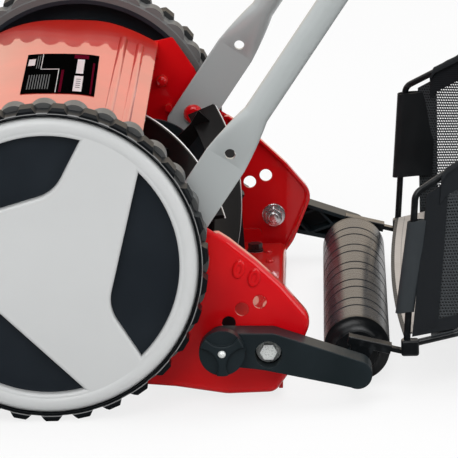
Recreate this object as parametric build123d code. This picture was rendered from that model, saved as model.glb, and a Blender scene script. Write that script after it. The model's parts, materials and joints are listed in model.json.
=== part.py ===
"""Hand-pushed reel mower: geared wheels drive a helical reel, with roller, handle and grass catcher.

X points to the rear, Y to the mower's right and Z up, in millimetres. The pieces are drawn about the point
on the ground under the wheel axle, and export() then shifts them so that the origin lies under the middle
of the whole mower. The right side (+Y) is drawn, and the left side is its mirror image.
"""

from build123d import *
from math import atan2, cos, degrees, radians, sin, tan
import os

# ------------------------------------------------------------------ driving dimensions
WHEEL_RADIUS = 115.0        # over the lugs
WHEEL_OFFSET = 50.0         # inner face of the side plate to the outer face of the wheel
TYRE_WIDTH = 38.0
TYRE_WALL = 7.0             # carcass under the lugs
LUG_COUNT = 31              # in each of two staggered rows
LUG_HEIGHT = 3.7
LUG_BASE = 15.5
LUG_TOP = 8.5
ARCH_BASE = 18.5             # inner row of lugs, arched
CAP_RING_WIDTH = 14.0
CAP_DEPTH = 8.0             # wheel panel below the cap's face
WINDOW_CORNER = 28.0
AXLE_RADIUS = 6.0
HUB_RADIUS = 15.0
BUSH_WALL = 2.0

BRACKET_ROOM = 50.0         # end of the reel to the inner face of the side plate
PLATE = 2.0                 # steel sheet
PLATE_BEND = 4.5            # outside radius of the turned edge
PLATE_FLANGE = 8.0

GEAR_MODULE = 2.0
RING_TEETH = 76
PINION_TEETH = 12
GEAR_WIDTH = 12.0
REEL_ANGLE = -22.5          # direction from wheel axle to reel axis, degrees

REEL_RADIUS = 75.0
REEL_LENGTH = 310.0
BLADE_COUNT = 4
BLADE_WIDTH = 24.0
BLADE = 2.5
BLADE_RAKE = 22.0           # lean of the blade from the radius, degrees
BLADE_TWIST = 0.346         # degrees of helix per millimetre of reel
BLADE_PHASE = 80.4          # angle of one cutting edge at the mid-plane
SHAFT_RADIUS = 6.0
SPIDERS = 4
SPIDER = 3.0

KNIFE_WIDTH = 36.0
KNIFE = 3.0
KNIFE_GAP = 0.4             # reel to bed knife
KNIFE_SCREWS = 5

PIVOT = (156.0, 41.0)       # height arm pivot (x, z)
STEP_RADIUS = 33.5          # adjusting holes about the pivot
STEP_ANGLE = 24.2
STEPS = 4
FIRST_HOLE = 172.6          # direction of the hole in use, degrees
HOLE_RADIUS = 5.0

ROLLER_RADIUS = 24.4
ROLLER_X = 220.0
ROLLER_ROOM = 39.0          # end of the roller to the inner face of the side plate
ROLLER_CAP = 13.0
ROLLER_AXLE = 4.0
GROOVE_PERIOD = 56.0
GROOVE_PAIR = 22.0
GROOVE = 1.2

ARM_DEPTH = 23.0
ARM_GAP = 2.0               # side plate to arm
ARM_FRONT = 12.0            # radius of the arm's knob end
ARM_WALL = 3.0
BOLT_POCKET = 14.0          # depth of the counterbore over the pivot bolt

KNOB_RADIUS = 16.5
KNOB_RECESS = 3.0           # depth of the three finger recesses
KNOB_DEPTH = 13.0
STUD_RADIUS = 3.0
BOLT_RADIUS = 3.0           # fold bolts

TUBE = 19.0                 # handle tube, outside diameter
TUBE_WALL = 1.3
TUBE_INSET = 4.0            # centre of the lower tubes inside the plate
FLAT_WIDTH = 32.0
FLAT = 3.0
HANDLE_PIN = (93.0, 127.0)
HANDLE_LEAN = 34.4          # from vertical, towards the rear
HANDLE_SWING = 40.0
LOWER_LENGTH = 470.0        # pin to fold bolt
UPPER_LENGTH = 560.0        # fold bolt to cross bar
SADDLE = 3.0
BEND_RADIUS = 55.0
GRIP_RADIUS = 16.0

WIRE = 2.5                  # catcher wire radius
CATCHER_INSET = 15.0        # clips and front uprights inside the plate
CLIP_SLOPE = 14.0
CLIP_LENGTH = 32.0
CLIP_WIDTH = 12.0
CLIP_HEIGHT = 6.5
CLIP_TOP = 40.0             # top of the clips above the ground, at their middle
TONGUE_WIDTH = 7.5
TONGUE_DEPTH = 3.0
ELBOW_GAP = 11.0            # rear end of the clip to the catcher's front uprights
ELBOW_Z = 34.0
UPRIGHT_HEIGHT = 148.0      # top of the front uprights above the ground
UPRIGHT_LEAN = 8.0
BAG_LENGTH = 326.0
RIM_HEIGHT = 243.0
FLOOR_RISE = 0.2235         # rise of the bag's floor per millimetre towards the rear
BAG_WALL = 2.0
FLOOR_SHEET = 1.5
LIP_BOW = 6.0               # curve of the floor sheet's front edge
SLEEVE_START = 28.0
SLEEVE_LENGTH = 68.0
COVER_SHEET = 1.6
BEADS = ((41.0, 198.0, -0.38), (54.0, 192.0, -0.50))   # x, z and slope of the cover's beads
BEAD_RADIUS = 4.0
BEAD_RISE = 1.4
BEAD_LENGTH = 318.0
PEG_RADIUS = 4.5
PEG_REACH = 8.0
PEG = (68.5, 154.0)          # peg on the inner face of each side plate
COVER_SCREWS = ((-42.0, 193.0), (22.0, 197.0))

RUN = 0.05                  # running clearance on a radius
CLEAR = 0.3                 # between pieces that lie beside each other

# ------------------------------------------------------------------ places worked out from them
CENTRE_DISTANCE = GEAR_MODULE * (RING_TEETH - PINION_TEETH) / 2
REEL_X = CENTRE_DISTANCE * cos(radians(REEL_ANGLE))
REEL_Z = WHEEL_RADIUS + CENTRE_DISTANCE * sin(radians(REEL_ANGLE))
PLATE_IN = REEL_LENGTH / 2 + BRACKET_ROOM
PLATE_OUT = PLATE_IN + PLATE
WHEEL_FACE = PLATE_IN + WHEEL_OFFSET
ROLLER_LENGTH = 2 * (PLATE_IN - ROLLER_ROOM)
TUBE_PLANE = PLATE_IN - TUBE_INSET
CATCHER_PLANE = PLATE_IN - CATCHER_INSET
TYRE_IN = WHEEL_FACE - 1 - TYRE_WIDTH
RIM_RADIUS = WHEEL_RADIUS - LUG_HEIGHT - TYRE_WALL
CAP_RADIUS = WHEEL_RADIUS - 6.5
PANEL = WHEEL_FACE - CAP_DEPTH
GEAR_IN = PLATE_OUT + 2.5
RING_ROOT = GEAR_MODULE * (RING_TEETH + 2.5) / 2
RING_TIP = GEAR_MODULE * (RING_TEETH - 1.7) / 2
RING_OUT = RING_ROOT + 5
ARM_IN = PLATE_OUT + ARM_GAP
ARM_OUT = ARM_IN + ARM_DEPTH
BRACKET = 3.0
BRACKET_IN = REEL_LENGTH / 2 + 2
BRACKET_OUT = BRACKET_IN + BRACKET
BEARING_RADIUS = 14.0
BOSS_RADIUS = 20.0
KNIFE_TOP = REEL_Z - (REEL_RADIUS + KNIFE_GAP) * cos(radians(10))
KNIFE_EDGE = REEL_X + (REEL_RADIUS + KNIFE_GAP) * sin(radians(10))
CARRIER = 3.0
CARRIER_TOP = KNIFE_TOP + CARRIER
SCREW_X = KNIFE_EDGE + KNIFE_WIDTH - 8
LEAN = radians(HANDLE_LEAN)
UPPER_PLANE = TUBE_PLANE - TUBE - SADDLE
ROLLER = (ROLLER_X, ROLLER_RADIUS)
KNOB_POINT = (
    PIVOT[0] + STEP_RADIUS * cos(radians(FIRST_HOLE)),
    PIVOT[1] + STEP_RADIUS * sin(radians(FIRST_HOLE)),
)
CLIP_X = ROLLER_X + 9       # middle of the clips
TAIL_RUN = CLIP_X + CLIP_LENGTH / 2 + ELBOW_GAP
LOWER_FOOT = TAIL_RUN + 4   # x of the lower wire's front ends
UPRIGHT_TOP = (TAIL_RUN + UPRIGHT_LEAN, UPRIGHT_HEIGHT)
BAG_FRONT = UPRIGHT_TOP[0] + 10
BAG_REAR = BAG_FRONT + BAG_LENGTH
RIM_MIDDLE = (BAG_FRONT + BAG_LENGTH * 0.48, CATCHER_PLANE - 60, RIM_HEIGHT)
RIM_REAR = (CATCHER_PLANE - 78, RIM_HEIGHT + 7)
LIP_X = TAIL_RUN - 8
LIP_HALF = CATCHER_PLANE - 8
ADJUSTER_X = SCREW_X + 40.8
ADJUSTER_Y = PLATE_IN - 34
UP = (Align.CENTER, Align.CENTER, Align.MIN)


# ------------------------------------------------------------------ drawing helpers
def slab(face, y_from, y_to):
    """A plate with the outline of a face drawn in x and z, between two y planes."""
    return extrude(Plane.XZ.offset(-y_from) * face, amount=y_to - y_from, dir=(0, 1, 0))


def turned(points, x=0.0, z=0.0):
    """A solid of revolution about the y direction through (x, z), from (radius, y) points."""
    return Pos(x, 0, z) * revolve(make_face(Polyline(*points, close=True)), Axis.Y)


def rod(x, z, radius, y_from, y_to):
    """A round bar along y."""
    return slab(Pos(x, z) * Circle(radius), y_from, y_to)


def ring(x, z, outer, inner, y_from, y_to):
    """A tube along y."""
    return slab(Pos(x, z) * (Circle(outer) - Circle(inner)), y_from, y_to)


def hexagon(x, z, across, y_from, y_to):
    """A hexagon bar along y."""
    return slab(Pos(x, z) * RegularPolygon(across / 2, 6, major_radius=False), y_from, y_to)


def polar(radius, angle, centre=(0.0, 0.0)):
    """A point (x, z) at a radius and an angle in degrees about a centre."""
    return (centre[0] + radius * cos(radians(angle)), centre[1] + radius * sin(radians(angle)))


def mirrored(solid):
    """The same piece for the mower's left side."""
    return mirror(solid, about=Plane.XZ)


def both(solid):
    """The right piece and its left mirror image, as one group of separate solids."""
    return [solid, mirrored(solid)]


# ------------------------------------------------------------------ wheels
def tyre():
    """Rubber band with a shoulder each side, an outer row of tapered lugs and an inner row of arches."""
    base = RIM_RADIUS + TYRE_WALL
    outer = TYRE_IN + TYRE_WIDTH
    carcass = turned([
        (RIM_RADIUS, TYRE_IN + 1), (base - 2, TYRE_IN), (base, TYRE_IN + 2), (base, outer - 3),
        (base - 1.5, outer), (CAP_RADIUS + 0.3, outer), (CAP_RADIUS + 0.3, PANEL + 3),
        (RIM_RADIUS, PANEL + 3),
    ])
    middle = TYRE_IN + TYRE_WIDTH / 2
    outline = Polygon(
        (-LUG_BASE / 2, -base + 1), (LUG_BASE / 2, -base + 1),
        (LUG_TOP / 2, -WHEEL_RADIUS), (-LUG_TOP / 2, -WHEEL_RADIUS), align=None,
    )
    lug = slab(outline, middle + 0.5, outer)
    shoulder = lug.edges().filter_by(Axis.X).sort_by(Axis.Z)[0:2].sort_by(Axis.Y)[-1]
    lug = chamfer(shoulder, 2)
    foot = (ARCH_BASE / 2, -base + 1)
    arch = make_face([
        ThreePointArc((-foot[0], foot[1]), (0, -WHEEL_RADIUS), foot), Line(foot, (-foot[0], foot[1])),
    ])
    lugs = []
    for row, turn in ((lug, 0.0), (slab(arch, TYRE_IN + 1, middle - 0.5), 0.5)):
        for count in range(LUG_COUNT):
            lugs.append(Rot(0, 360 * (count + turn) / LUG_COUNT, 0) * row)
    return Pos(0, 0, WHEEL_RADIUS) * carcass.fuse(*lugs)


def wheel_body():
    """Moulded wheel: rim, web, hub and the skirt that carries the ring gear, with ribs behind the web."""
    web = PANEL - 3.5
    hub_bore = AXLE_RADIUS + RUN + BUSH_WALL
    skirt = GEAR_IN + GEAR_WIDTH + 1
    body = turned([
        (hub_bore, GEAR_IN + 0.5), (HUB_RADIUS, GEAR_IN + 0.5), (HUB_RADIUS, web),
        (RING_ROOT + 1.5, web), (RING_ROOT + 1.5, skirt), (RING_OUT, skirt), (RING_OUT, web),
        (RIM_RADIUS - 3.5, web), (RIM_RADIUS - 3.5, TYRE_IN + 1), (RIM_RADIUS, TYRE_IN + 1),
        (RIM_RADIUS, PANEL + 3), (RIM_RADIUS - 5, PANEL + 3), (RIM_RADIUS - 5, PANEL),
        (HUB_RADIUS - 4, PANEL), (HUB_RADIUS - 4, PANEL - 6), (hub_bore, PANEL - 6),
    ])
    rib = Pos((HUB_RADIUS + RING_ROOT) / 2, web - 4.5, 0) * Box(RING_ROOT - HUB_RADIUS + 4, 9.5, 2)
    ribs = [Rot(0, 40 * count, 0) * rib for count in range(9)]
    return Pos(0, 0, WHEEL_RADIUS) * body.fuse(*ribs)


def window():
    """One of the three openings of the wheel cap, in x and z about the wheel's centre."""
    rim = CAP_RADIUS - CAP_RING_WIDTH
    top = polar(rim, 44.8)
    foot = polar(rim, -46.2)
    corner = (0.451 * rim, -0.335 * rim)
    outline = make_face([Line(top, corner), Line(corner, foot), ThreePointArc(foot, polar(rim, 0), top)])
    inner = outline.vertices().sort_by_distance((corner[0], corner[1], 0))[0]
    return fillet(inner, WINDOW_CORNER)


def wheel_cap():
    """Pale trim: a crowned ring and a three-armed star with three windows onto the dark web."""
    inner = CAP_RADIUS - CAP_RING_WIDTH
    seat = PANEL + 3.2
    crown = make_face([
        Line((inner, seat), (CAP_RADIUS, seat)),
        ThreePointArc((CAP_RADIUS, seat), ((inner + CAP_RADIUS) / 2 + 1, WHEEL_FACE), (inner, seat)),
    ])
    face = Circle(inner + 4)
    for turn in (0, 120, 240):
        face -= Rot(0, 0, turn) * window()
    star = slab(face, PANEL + 0.2, WHEEL_FACE - 1)
    front = star.faces().sort_by(Axis.Y)[-1]
    outer = front.edges().sort_by(SortBy.LENGTH)[-1]
    star = fillet([edge for edge in front.edges() if edge not in outer.edges()], 2.5)
    return Pos(0, 0, WHEEL_RADIUS) * (star + revolve(crown, Axis.Y))


def ring_gear():
    """Internal gear ring pressed on the wheel's skirt: straight-flanked teeth inside a plain rim."""
    pitch = 360 / RING_TEETH
    foot = 0.3 * pitch
    tip = 0.13 * pitch
    contour = []
    for count in range(RING_TEETH):
        middle = REEL_ANGLE + pitch * (count + 0.5)
        contour += [polar(RING_ROOT, middle - foot), polar(RING_TIP, middle - tip)]
        contour += [polar(RING_TIP, middle + tip), polar(RING_ROOT, middle + foot)]
    outline = Circle(RING_OUT) - make_face(Polyline(*contour, close=True))
    return Pos(0, 0, WHEEL_RADIUS) * slab(outline, GEAR_IN, GEAR_IN + GEAR_WIDTH + 1)


def axle_stub():
    """Shouldered stub axle, its threaded end through the side plate."""
    bolt = AXLE_RADIUS - 1
    return turned([
        (0, PLATE_IN - 8), (bolt, PLATE_IN - 8), (bolt, PLATE_OUT), (HUB_RADIUS - 2, PLATE_OUT),
        (HUB_RADIUS - 2, GEAR_IN), (AXLE_RADIUS, GEAR_IN), (AXLE_RADIUS, PANEL - 3.5),
        (AXLE_RADIUS - 1, PANEL - 2), (0, PANEL - 2),
    ], 0, WHEEL_RADIUS)


def axle_nut():
    """Nut of the stub axle, on the inner face of the side plate."""
    nut = hexagon(0, WHEEL_RADIUS, 17, PLATE_IN - 6.5, PLATE_IN)
    return nut - rod(0, WHEEL_RADIUS, AXLE_RADIUS - 1, PLATE_IN - 7, PLATE_IN + 1)


def wheel_bush():
    """Plain bush pressed in the hub and running on the stub axle."""
    bore = AXLE_RADIUS + RUN
    return ring(0, WHEEL_RADIUS, bore + BUSH_WALL, bore, GEAR_IN + 0.5, PANEL - 6)


def wheel_clip():
    """Retaining ring in the hub's recess, just outside the bush."""
    return ring(0, WHEEL_RADIUS, AXLE_RADIUS + 3, AXLE_RADIUS, PANEL - 5.5, PANEL - 4.3)


# ------------------------------------------------------------------ reel and its drive
def blade(grow=0.0):
    """One helical blade: a raked strip twisted along the reel, with its edge ground on the reel's radius."""
    rake = radians(BLADE_RAKE)
    inner = (REEL_RADIUS - BLADE_WIDTH * cos(rake), BLADE_WIDTH * sin(rake))
    across = (BLADE * sin(rake), BLADE * cos(rake))
    edge = polar(REEL_RADIUS, 0)
    heel = (REEL_RADIUS - 0.8, BLADE + 0.6)
    back = (inner[0] + across[0], inner[1] + across[1])
    outline = Polygon(edge, heel, back, inner, align=None)
    outline = offset(outline, grow, kind=Kind.INTERSECTION) if grow else outline
    section = Plane.XZ.offset(REEL_LENGTH / 2) * outline
    twisted = Solid.extrude_linear_with_rotation(
        section.face(), (0, -REEL_LENGTH / 2, 0), (0, REEL_LENGTH, 0), -BLADE_TWIST * REEL_LENGTH,
    )
    start = BLADE_PHASE - BLADE_TWIST * REEL_LENGTH / 2
    return Rot(0, -start, 0) * twisted


def reel_shaft():
    """Shaft through both bearings and pinions, with a cross slot for each drive key."""
    end = GEAR_IN + GEAR_WIDTH + 2.5
    shaft = rod(0, 0, SHAFT_RADIUS, -end, end)
    slot = Pos(0, GEAR_IN + GEAR_WIDTH / 2, 0) * Box(3 * SHAFT_RADIUS, 7.2, 3.1)
    return Pos(REEL_X, 0, REEL_Z) * (shaft - slot - mirrored(slot))


def spider(middle):
    """Pressed five-armed disc that carries the blades in notches at the arm ends."""
    hub = ring(0, 0, SHAFT_RADIUS + 7, SHAFT_RADIUS, middle - 5, middle + 5)
    reach = REEL_RADIUS - 9
    arm = Polygon((8, -8), (reach - 14, -5), (reach, -7), (reach, 9), (reach - 14, 6), (8, 8), align=None)
    outline = Circle(18) - Circle(SHAFT_RADIUS)
    turn = BLADE_PHASE + BLADE_TWIST * middle + 8
    for count in range(BLADE_COUNT):
        outline += Rot(0, 0, turn + 360 * count / BLADE_COUNT) * arm
    outline -= Circle(SHAFT_RADIUS)
    return hub + slab(outline, middle - SPIDER / 2, middle + SPIDER / 2)


def pinion():
    """Drive pinion with a ratchet recess round the shaft's key."""
    root = GEAR_MODULE * (PINION_TEETH - 2.5) / 2
    tip = GEAR_MODULE * (PINION_TEETH + 1.8) / 2
    pitch = GEAR_MODULE * PINION_TEETH / 2
    outline = Circle(root)
    tooth = Polygon(
        (root - 1, -1.75), (pitch - 0.6, -1.45), (pitch + 0.8, -0.95), (tip, -0.45),
        (tip, 0.45), (pitch + 0.8, 0.95), (pitch - 0.6, 1.45), (root - 1, 1.75), align=None,
    )
    for count in range(PINION_TEETH):
        outline += Rot(0, 0, REEL_ANGLE + 360 * count / PINION_TEETH) * tooth
    body = slab(outline, GEAR_IN, GEAR_IN + GEAR_WIDTH)
    body -= rod(0, 0, SHAFT_RADIUS + RUN, GEAR_IN - 1, GEAR_IN + GEAR_WIDTH + 1)
    recess = Circle(SHAFT_RADIUS + 1.3)
    for turn in (0, 120, 240):
        recess += Rot(0, 0, turn) * (Pos(SHAFT_RADIUS + 1, 0) * Rectangle(2.4, 3.6))
    body -= slab(recess, GEAR_IN + 2, GEAR_IN + GEAR_WIDTH - 2)
    return Pos(REEL_X, 0, REEL_Z) * body


def drive_key():
    """Sliding key in the shaft's slot, drawn back as when the mower is pulled."""
    key = Box(2 * SHAFT_RADIUS + 1.6, 7, 3)
    key = fillet(key.edges().filter_by(Axis.Y), 1.2)
    return Pos(REEL_X, GEAR_IN + GEAR_WIDTH / 2, REEL_Z) * key


def shaft_clip():
    """Retaining ring outside the pinion."""
    outside = GEAR_IN + GEAR_WIDTH
    return ring(REEL_X, REEL_Z, SHAFT_RADIUS + 2.5, SHAFT_RADIUS, outside + 0.3, outside + 1.3)


def reel_bearing():
    """Shielded ball bearing: outer race with its shields, and the inner race on the shaft."""
    start = BRACKET_OUT + 2
    outer = ring(REEL_X, REEL_Z, BEARING_RADIUS, SHAFT_RADIUS + 3.2, start, start + 8)
    inner = ring(REEL_X, REEL_Z, SHAFT_RADIUS + 3, SHAFT_RADIUS + RUN, start, start + 8)
    return [outer, inner]


def bearing_bracket():
    """Black bracket beside the reel: a plate rounded about the bearing, with a boss to the side plate."""
    outline = Pos(REEL_X, REEL_Z) * Circle(42)
    foot = Polygon(
        (REEL_X + 25, REEL_Z + 33), (REEL_X + 54, REEL_Z + 23), (REEL_X + 71, REEL_Z - 16),
        (REEL_X + 74, CARRIER_TOP + 0.2), (REEL_X + 34, CARRIER_TOP + 0.2), (REEL_X - 18, REEL_Z - 38),
        align=None,
    )
    foot = fillet(foot.vertices().sort_by_distance((REEL_X + 54, REEL_Z + 23, 0))[0], 18)
    body = slab(outline + foot, BRACKET_IN, BRACKET_OUT)
    body += rod(REEL_X, REEL_Z, BOSS_RADIUS, BRACKET_IN, PLATE_IN)
    for turn in (30, 150, 270):
        rib = Pos(REEL_X, 0, REEL_Z) * Rot(0, -turn, 0) * Pos(BOSS_RADIUS + 5, BRACKET_OUT + 3, 0)
        body += rib * Box(14, 6, 3)
    body -= rod(REEL_X, REEL_Z, BEARING_RADIUS, BRACKET_OUT + 2, PLATE_IN + 1)
    body -= rod(REEL_X, REEL_Z, SHAFT_RADIUS + 1, BRACKET_IN - 1, PLATE_IN)
    for turn in (30, 150, 270):
        body -= rod(*polar(BOSS_RADIUS - 3, turn, (REEL_X, REEL_Z)), 1.5, PLATE_IN - 9, PLATE_IN + 1)
    return body


def bracket_screws():
    """Three pan-head screws from outside the side plate into the bracket's boss."""
    screws = []
    for turn in (30, 150, 270):
        x, z = polar(BOSS_RADIUS - 3, turn, (REEL_X, REEL_Z))
        screws.append(rod(x, z, 1.5, PLATE_IN - 8, PLATE_OUT) + rod(x, z, 3, PLATE_OUT, PLATE_OUT + 1.6))
    return screws


# ------------------------------------------------------------------ frame
def plate_outline(inset=0.0):
    """Side plate in x and z: a horn under the cover's rear edge, a round rear corner, a swept underside."""
    points = [
        (-30, 202), (28, 201), (62, 187), (78, 190.5), (95, 164.5), (108, 134), (129, 120), (148, 104),
        (167, 85.5), (188, 60), (171.5, 21), (160, 5.5), (125, 4.7), (88, 10.9), (60, 13.5),
        (10, 20), (-38, 52), (-66, 110), (-66, 165),
    ]
    radii = [20, 30, 12, 3, 30, 9, 30, 60, 60, 15, 30, 10, 30, 60, 60, 60, 60, 60, 40]
    outline = make_face(FilletPolyline(*points, radius=radii, close=True))
    return offset(outline, -inset) if inset else outline


def step_holes():
    """Centres (x, z) of the height adjusting holes."""
    return [polar(STEP_RADIUS, FIRST_HOLE - STEP_ANGLE * step, PIVOT) for step in range(STEPS)]


def side_plate():
    """Pressed steel side plate with a turned edge, adjusting holes and two embossed pads."""
    back = PLATE_IN - PLATE_FLANGE
    outer = slab(plate_outline(), back, PLATE_OUT)
    outer = fillet(outer.faces().sort_by(Axis.Y)[-1].edges(), PLATE_BEND)
    inner = slab(plate_outline(PLATE), back - 1, PLATE_IN)
    inner = fillet(inner.faces().sort_by(Axis.Y)[-1].edges(), PLATE_BEND - PLATE)
    sheet = outer - inner
    clear_top = Pos(0, PLATE_IN - 20, 125 + 100) * Box(400, 40, 200)
    clear_front = Pos(-100, PLATE_IN - 20, 100) * Box(200, 40, 300)
    sheet = sheet - clear_top - clear_front
    for x, z in step_holes():
        sheet -= rod(x, z, HOLE_RADIUS, PLATE_IN - 1, PLATE_OUT + 1)
    for x, z, radius in (
        (*PIVOT, 4.05), (*HANDLE_PIN, 4.0), (0, WHEEL_RADIUS, AXLE_RADIUS - 1), (REEL_X, REEL_Z, 10),
    ):
        sheet -= rod(x, z, radius, PLATE_IN - 1, PLATE_OUT + 1)
    for turn in (30, 150, 270):
        sheet -= rod(*polar(BOSS_RADIUS - 3, turn, (REEL_X, REEL_Z)), 1.5, PLATE_IN - 1, PLATE_OUT + 1)
    for x, z in COVER_SCREWS:
        sheet -= rod(x, z, 2.5, PLATE_IN - 1, PLATE_OUT + 1)
    for x, z in ((135.5, 98.5), (146.5, 92.0)):
        pad = slab(Pos(x, z) * Rot(0, 0, -15) * Ellipse(4.6, 7.2), PLATE_OUT - 0.5, PLATE_OUT + 1.6)
        pad = fillet(pad.faces().sort_by(Axis.Y)[-1].edges(), 1.5)
        dent = slab(Pos(x, z) * Rot(0, 0, -15) * Ellipse(1.8, 3.6), PLATE_OUT + 1, PLATE_OUT + 3)
        sheet += pad - dent
    peg = rod(*PEG, PEG_RADIUS, PLATE_IN - PEG_REACH, PLATE_IN + 1)
    peg = fillet(peg.edges().sort_by(Axis.Y)[0], PEG_RADIUS - 1)
    return sheet + peg


def cover_outline(inset=0.0):
    """Top line of the reel cover in x and z, from the rear edge to the front edge."""
    return Spline(
        (66, 185 - inset), (48, 194.5 - inset), (26, 202.5 - inset), (0, 205 - inset),
        (-30, 204.5 - inset), (-58, 197 - inset), (-82 + inset * 0.7, 180 - inset * 0.7),
        (-94 + inset, 158), (-98 + inset, 140),
    )


def cover_band(start, depth):
    """Face between the cover's top line set in by a start and the same line set in by a depth."""
    top = cover_outline(start)
    under = cover_outline(depth)
    return make_face([top, Line(top @ 1, under @ 1), under, Line(under @ 0, top @ 0)])


def beaded_band():
    """Face of the cover's section through its two pressed beads, each a hollow ridge."""
    band = cover_band(0, COVER_SHEET)
    above = cover_band(-BEAD_RADIUS, COVER_SHEET / 2)
    for x, z, slope in BEADS:
        sink = BEAD_RADIUS - BEAD_RISE
        tilt = atan2(slope, 1)
        axis = Pos(x + sink * sin(tilt), z - sink * cos(tilt))
        band += axis * Circle(BEAD_RADIUS) & above
        band -= axis * Circle(BEAD_RADIUS - COVER_SHEET)
    return band


def reel_cover():
    """Curved red cover over the reel: one sheet with two pressed beads and a turned flange each end."""
    half = PLATE_IN - 0.1
    plain = slab(cover_band(0, COVER_SHEET), BEAD_LENGTH / 2, half)
    sheet = slab(beaded_band(), -BEAD_LENGTH / 2, BEAD_LENGTH / 2) + plain + mirrored(plain)
    flange = slab(cover_band(0, 13), PLATE_IN - 2.1, half)
    for x, z in COVER_SCREWS:
        flange -= rod(x, z, 2.5, PLATE_IN - 5, PLATE_IN + 1)
    return sheet + flange + mirrored(flange)


def cover_screws():
    """Low pan-head screws from outside the side plate into the cover's flange."""
    return [
        rod(x, z, 2.5, PLATE_IN - 5, PLATE_OUT) + rod(x, z, 4.5, PLATE_OUT, PLATE_OUT + 1.8)
        for x, z in COVER_SCREWS
    ]


def knife_carrier():
    """Red cross member: a flat shelf over the bed knife, rear edge turned down and ends turned up."""
    half = PLATE_IN - PLATE_FLANGE - CLEAR
    rear = ADJUSTER_X + 24.5
    front = SCREW_X - 12
    under = CARRIER_TOP - CARRIER
    path = make_face(FilletPolyline(
        (front, CARRIER_TOP), (rear, CARRIER_TOP), (rear, CARRIER_TOP - 13),
        (rear - CARRIER, CARRIER_TOP - 13), (rear - CARRIER, under),
        (front, under), radius=[0.5, 5, 0.5, 0.5, 2, 0.5], close=True,
    ))
    shelf = slab(path, -half, half)
    for x, y in ((151.5, 168), (153.0, 136)):
        pad = Pos(x, y, CARRIER_TOP - 0.5) * extrude(Ellipse(3.4, 6.0), amount=2.3)
        pad = fillet(pad.edges().sort_by(Axis.Z)[-1], 1.5)
        shelf = shelf + pad + mirrored(pad)
    for y in knife_screw_places():
        shelf -= Pos(SCREW_X, y, CARRIER_TOP) * Cylinder(2.5, 4 * CARRIER)
    for y in (-ADJUSTER_Y, ADJUSTER_Y):
        shelf -= Pos(ADJUSTER_X, y, CARRIER_TOP) * Cylinder(3, 4 * CARRIER)
    tab = slab(make_face(FilletPolyline(
        (96, under), (146, under), (146, CARRIER_TOP + 11), (104, CARRIER_TOP + 11),
        radius=[0.5, 0.5, 4, 4], close=True,
    )), PLATE_IN - CARRIER, PLATE_IN)
    foot = slab(make_face(Polyline(
        (96, under), (146, under), (146, CARRIER_TOP), (96, CARRIER_TOP), close=True,
    )), half - 1, PLATE_IN - 1)
    end = tab + foot
    return shelf + end + mirrored(end)


def knife_screw_places():
    """Y places of the bed knife screws."""
    pitch = (REEL_LENGTH - 30) / (KNIFE_SCREWS - 1)
    return [pitch * (count - (KNIFE_SCREWS - 1) / 2) for count in range(KNIFE_SCREWS)]


def bed_knife():
    """Hardened steel bar with a ground front edge just under the reel."""
    z = KNIFE_TOP - KNIFE
    outline = Polygon(
        (KNIFE_EDGE, KNIFE_TOP), (KNIFE_EDGE + KNIFE_WIDTH, KNIFE_TOP), (KNIFE_EDGE + KNIFE_WIDTH, z),
        (KNIFE_EDGE + 1.5, z), align=None,
    )
    half = PLATE_IN - PLATE_FLANGE - CLEAR
    knife = slab(outline, -half, half)
    for y in knife_screw_places():
        knife -= Pos(SCREW_X, y, KNIFE_TOP) * Cylinder(2.5, 4 * KNIFE)
    return knife


def knife_screws():
    """Low hexagon screws through the cross member into the bed knife."""
    screws = []
    for y in knife_screw_places():
        shank = Pos(SCREW_X, y, KNIFE_TOP - KNIFE) * Cylinder(2.5, CARRIER + KNIFE, align=UP)
        head = Pos(SCREW_X, y, CARRIER_TOP) * extrude(RegularPolygon(4, 6, major_radius=False), 3)
        screws.append(shank + head)
    return screws


def adjuster_bolts():
    """Bolts that set the knife to the reel, standing on the cross member near each side plate."""
    bolt = Pos(0, 0, -CARRIER) * Cylinder(3, CARRIER + 2, align=UP)
    bolt += Pos(0, 0, 1.6) * extrude(RegularPolygon(5, 6, major_radius=False), 5)
    bolt += Pos(0, 0, -CARRIER - 4) * extrude(RegularPolygon(5, 6, major_radius=False), 4)
    bolt = Pos(ADJUSTER_X, ADJUSTER_Y, CARRIER_TOP) * bolt
    return both(bolt)


def adjuster_washers():
    """Bright washers under the adjuster heads."""
    washer = Pos(ADJUSTER_X, ADJUSTER_Y, CARRIER_TOP) * (
        Cylinder(6.5, 1.6, align=UP) - Cylinder(3, 10)
    )
    return both(washer)


# ------------------------------------------------------------------ height arms and roller
def arm_outline(inset=0.0):
    """Height arm in x and z: from the knob end over the pivot down to the roller axle."""
    front = Pos(*KNOB_POINT) * Circle(ARM_FRONT - inset)
    rear = Pos(*ROLLER) * Circle(10.5 - inset)
    middle = Polygon(
        polar(ARM_FRONT - inset, 93, KNOB_POINT), polar(ARM_FRONT - inset, -97, KNOB_POINT),
        (PIVOT[0] - 4, PIVOT[1] - 11.6 + inset), (PIVOT[0] + 51, PIVOT[1] - 24 + inset),
        polar(10.5 - inset, -90, ROLLER), polar(10.5 - inset, 72, ROLLER),
        (PIVOT[0] + 4, PIVOT[1] + 15.5 - inset), align=None,
    )
    crown = middle.vertices().sort_by_distance((PIVOT[0] + 4, PIVOT[1] + 15.5, 0))[0]
    return front + rear + fillet(crown, 10)


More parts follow.
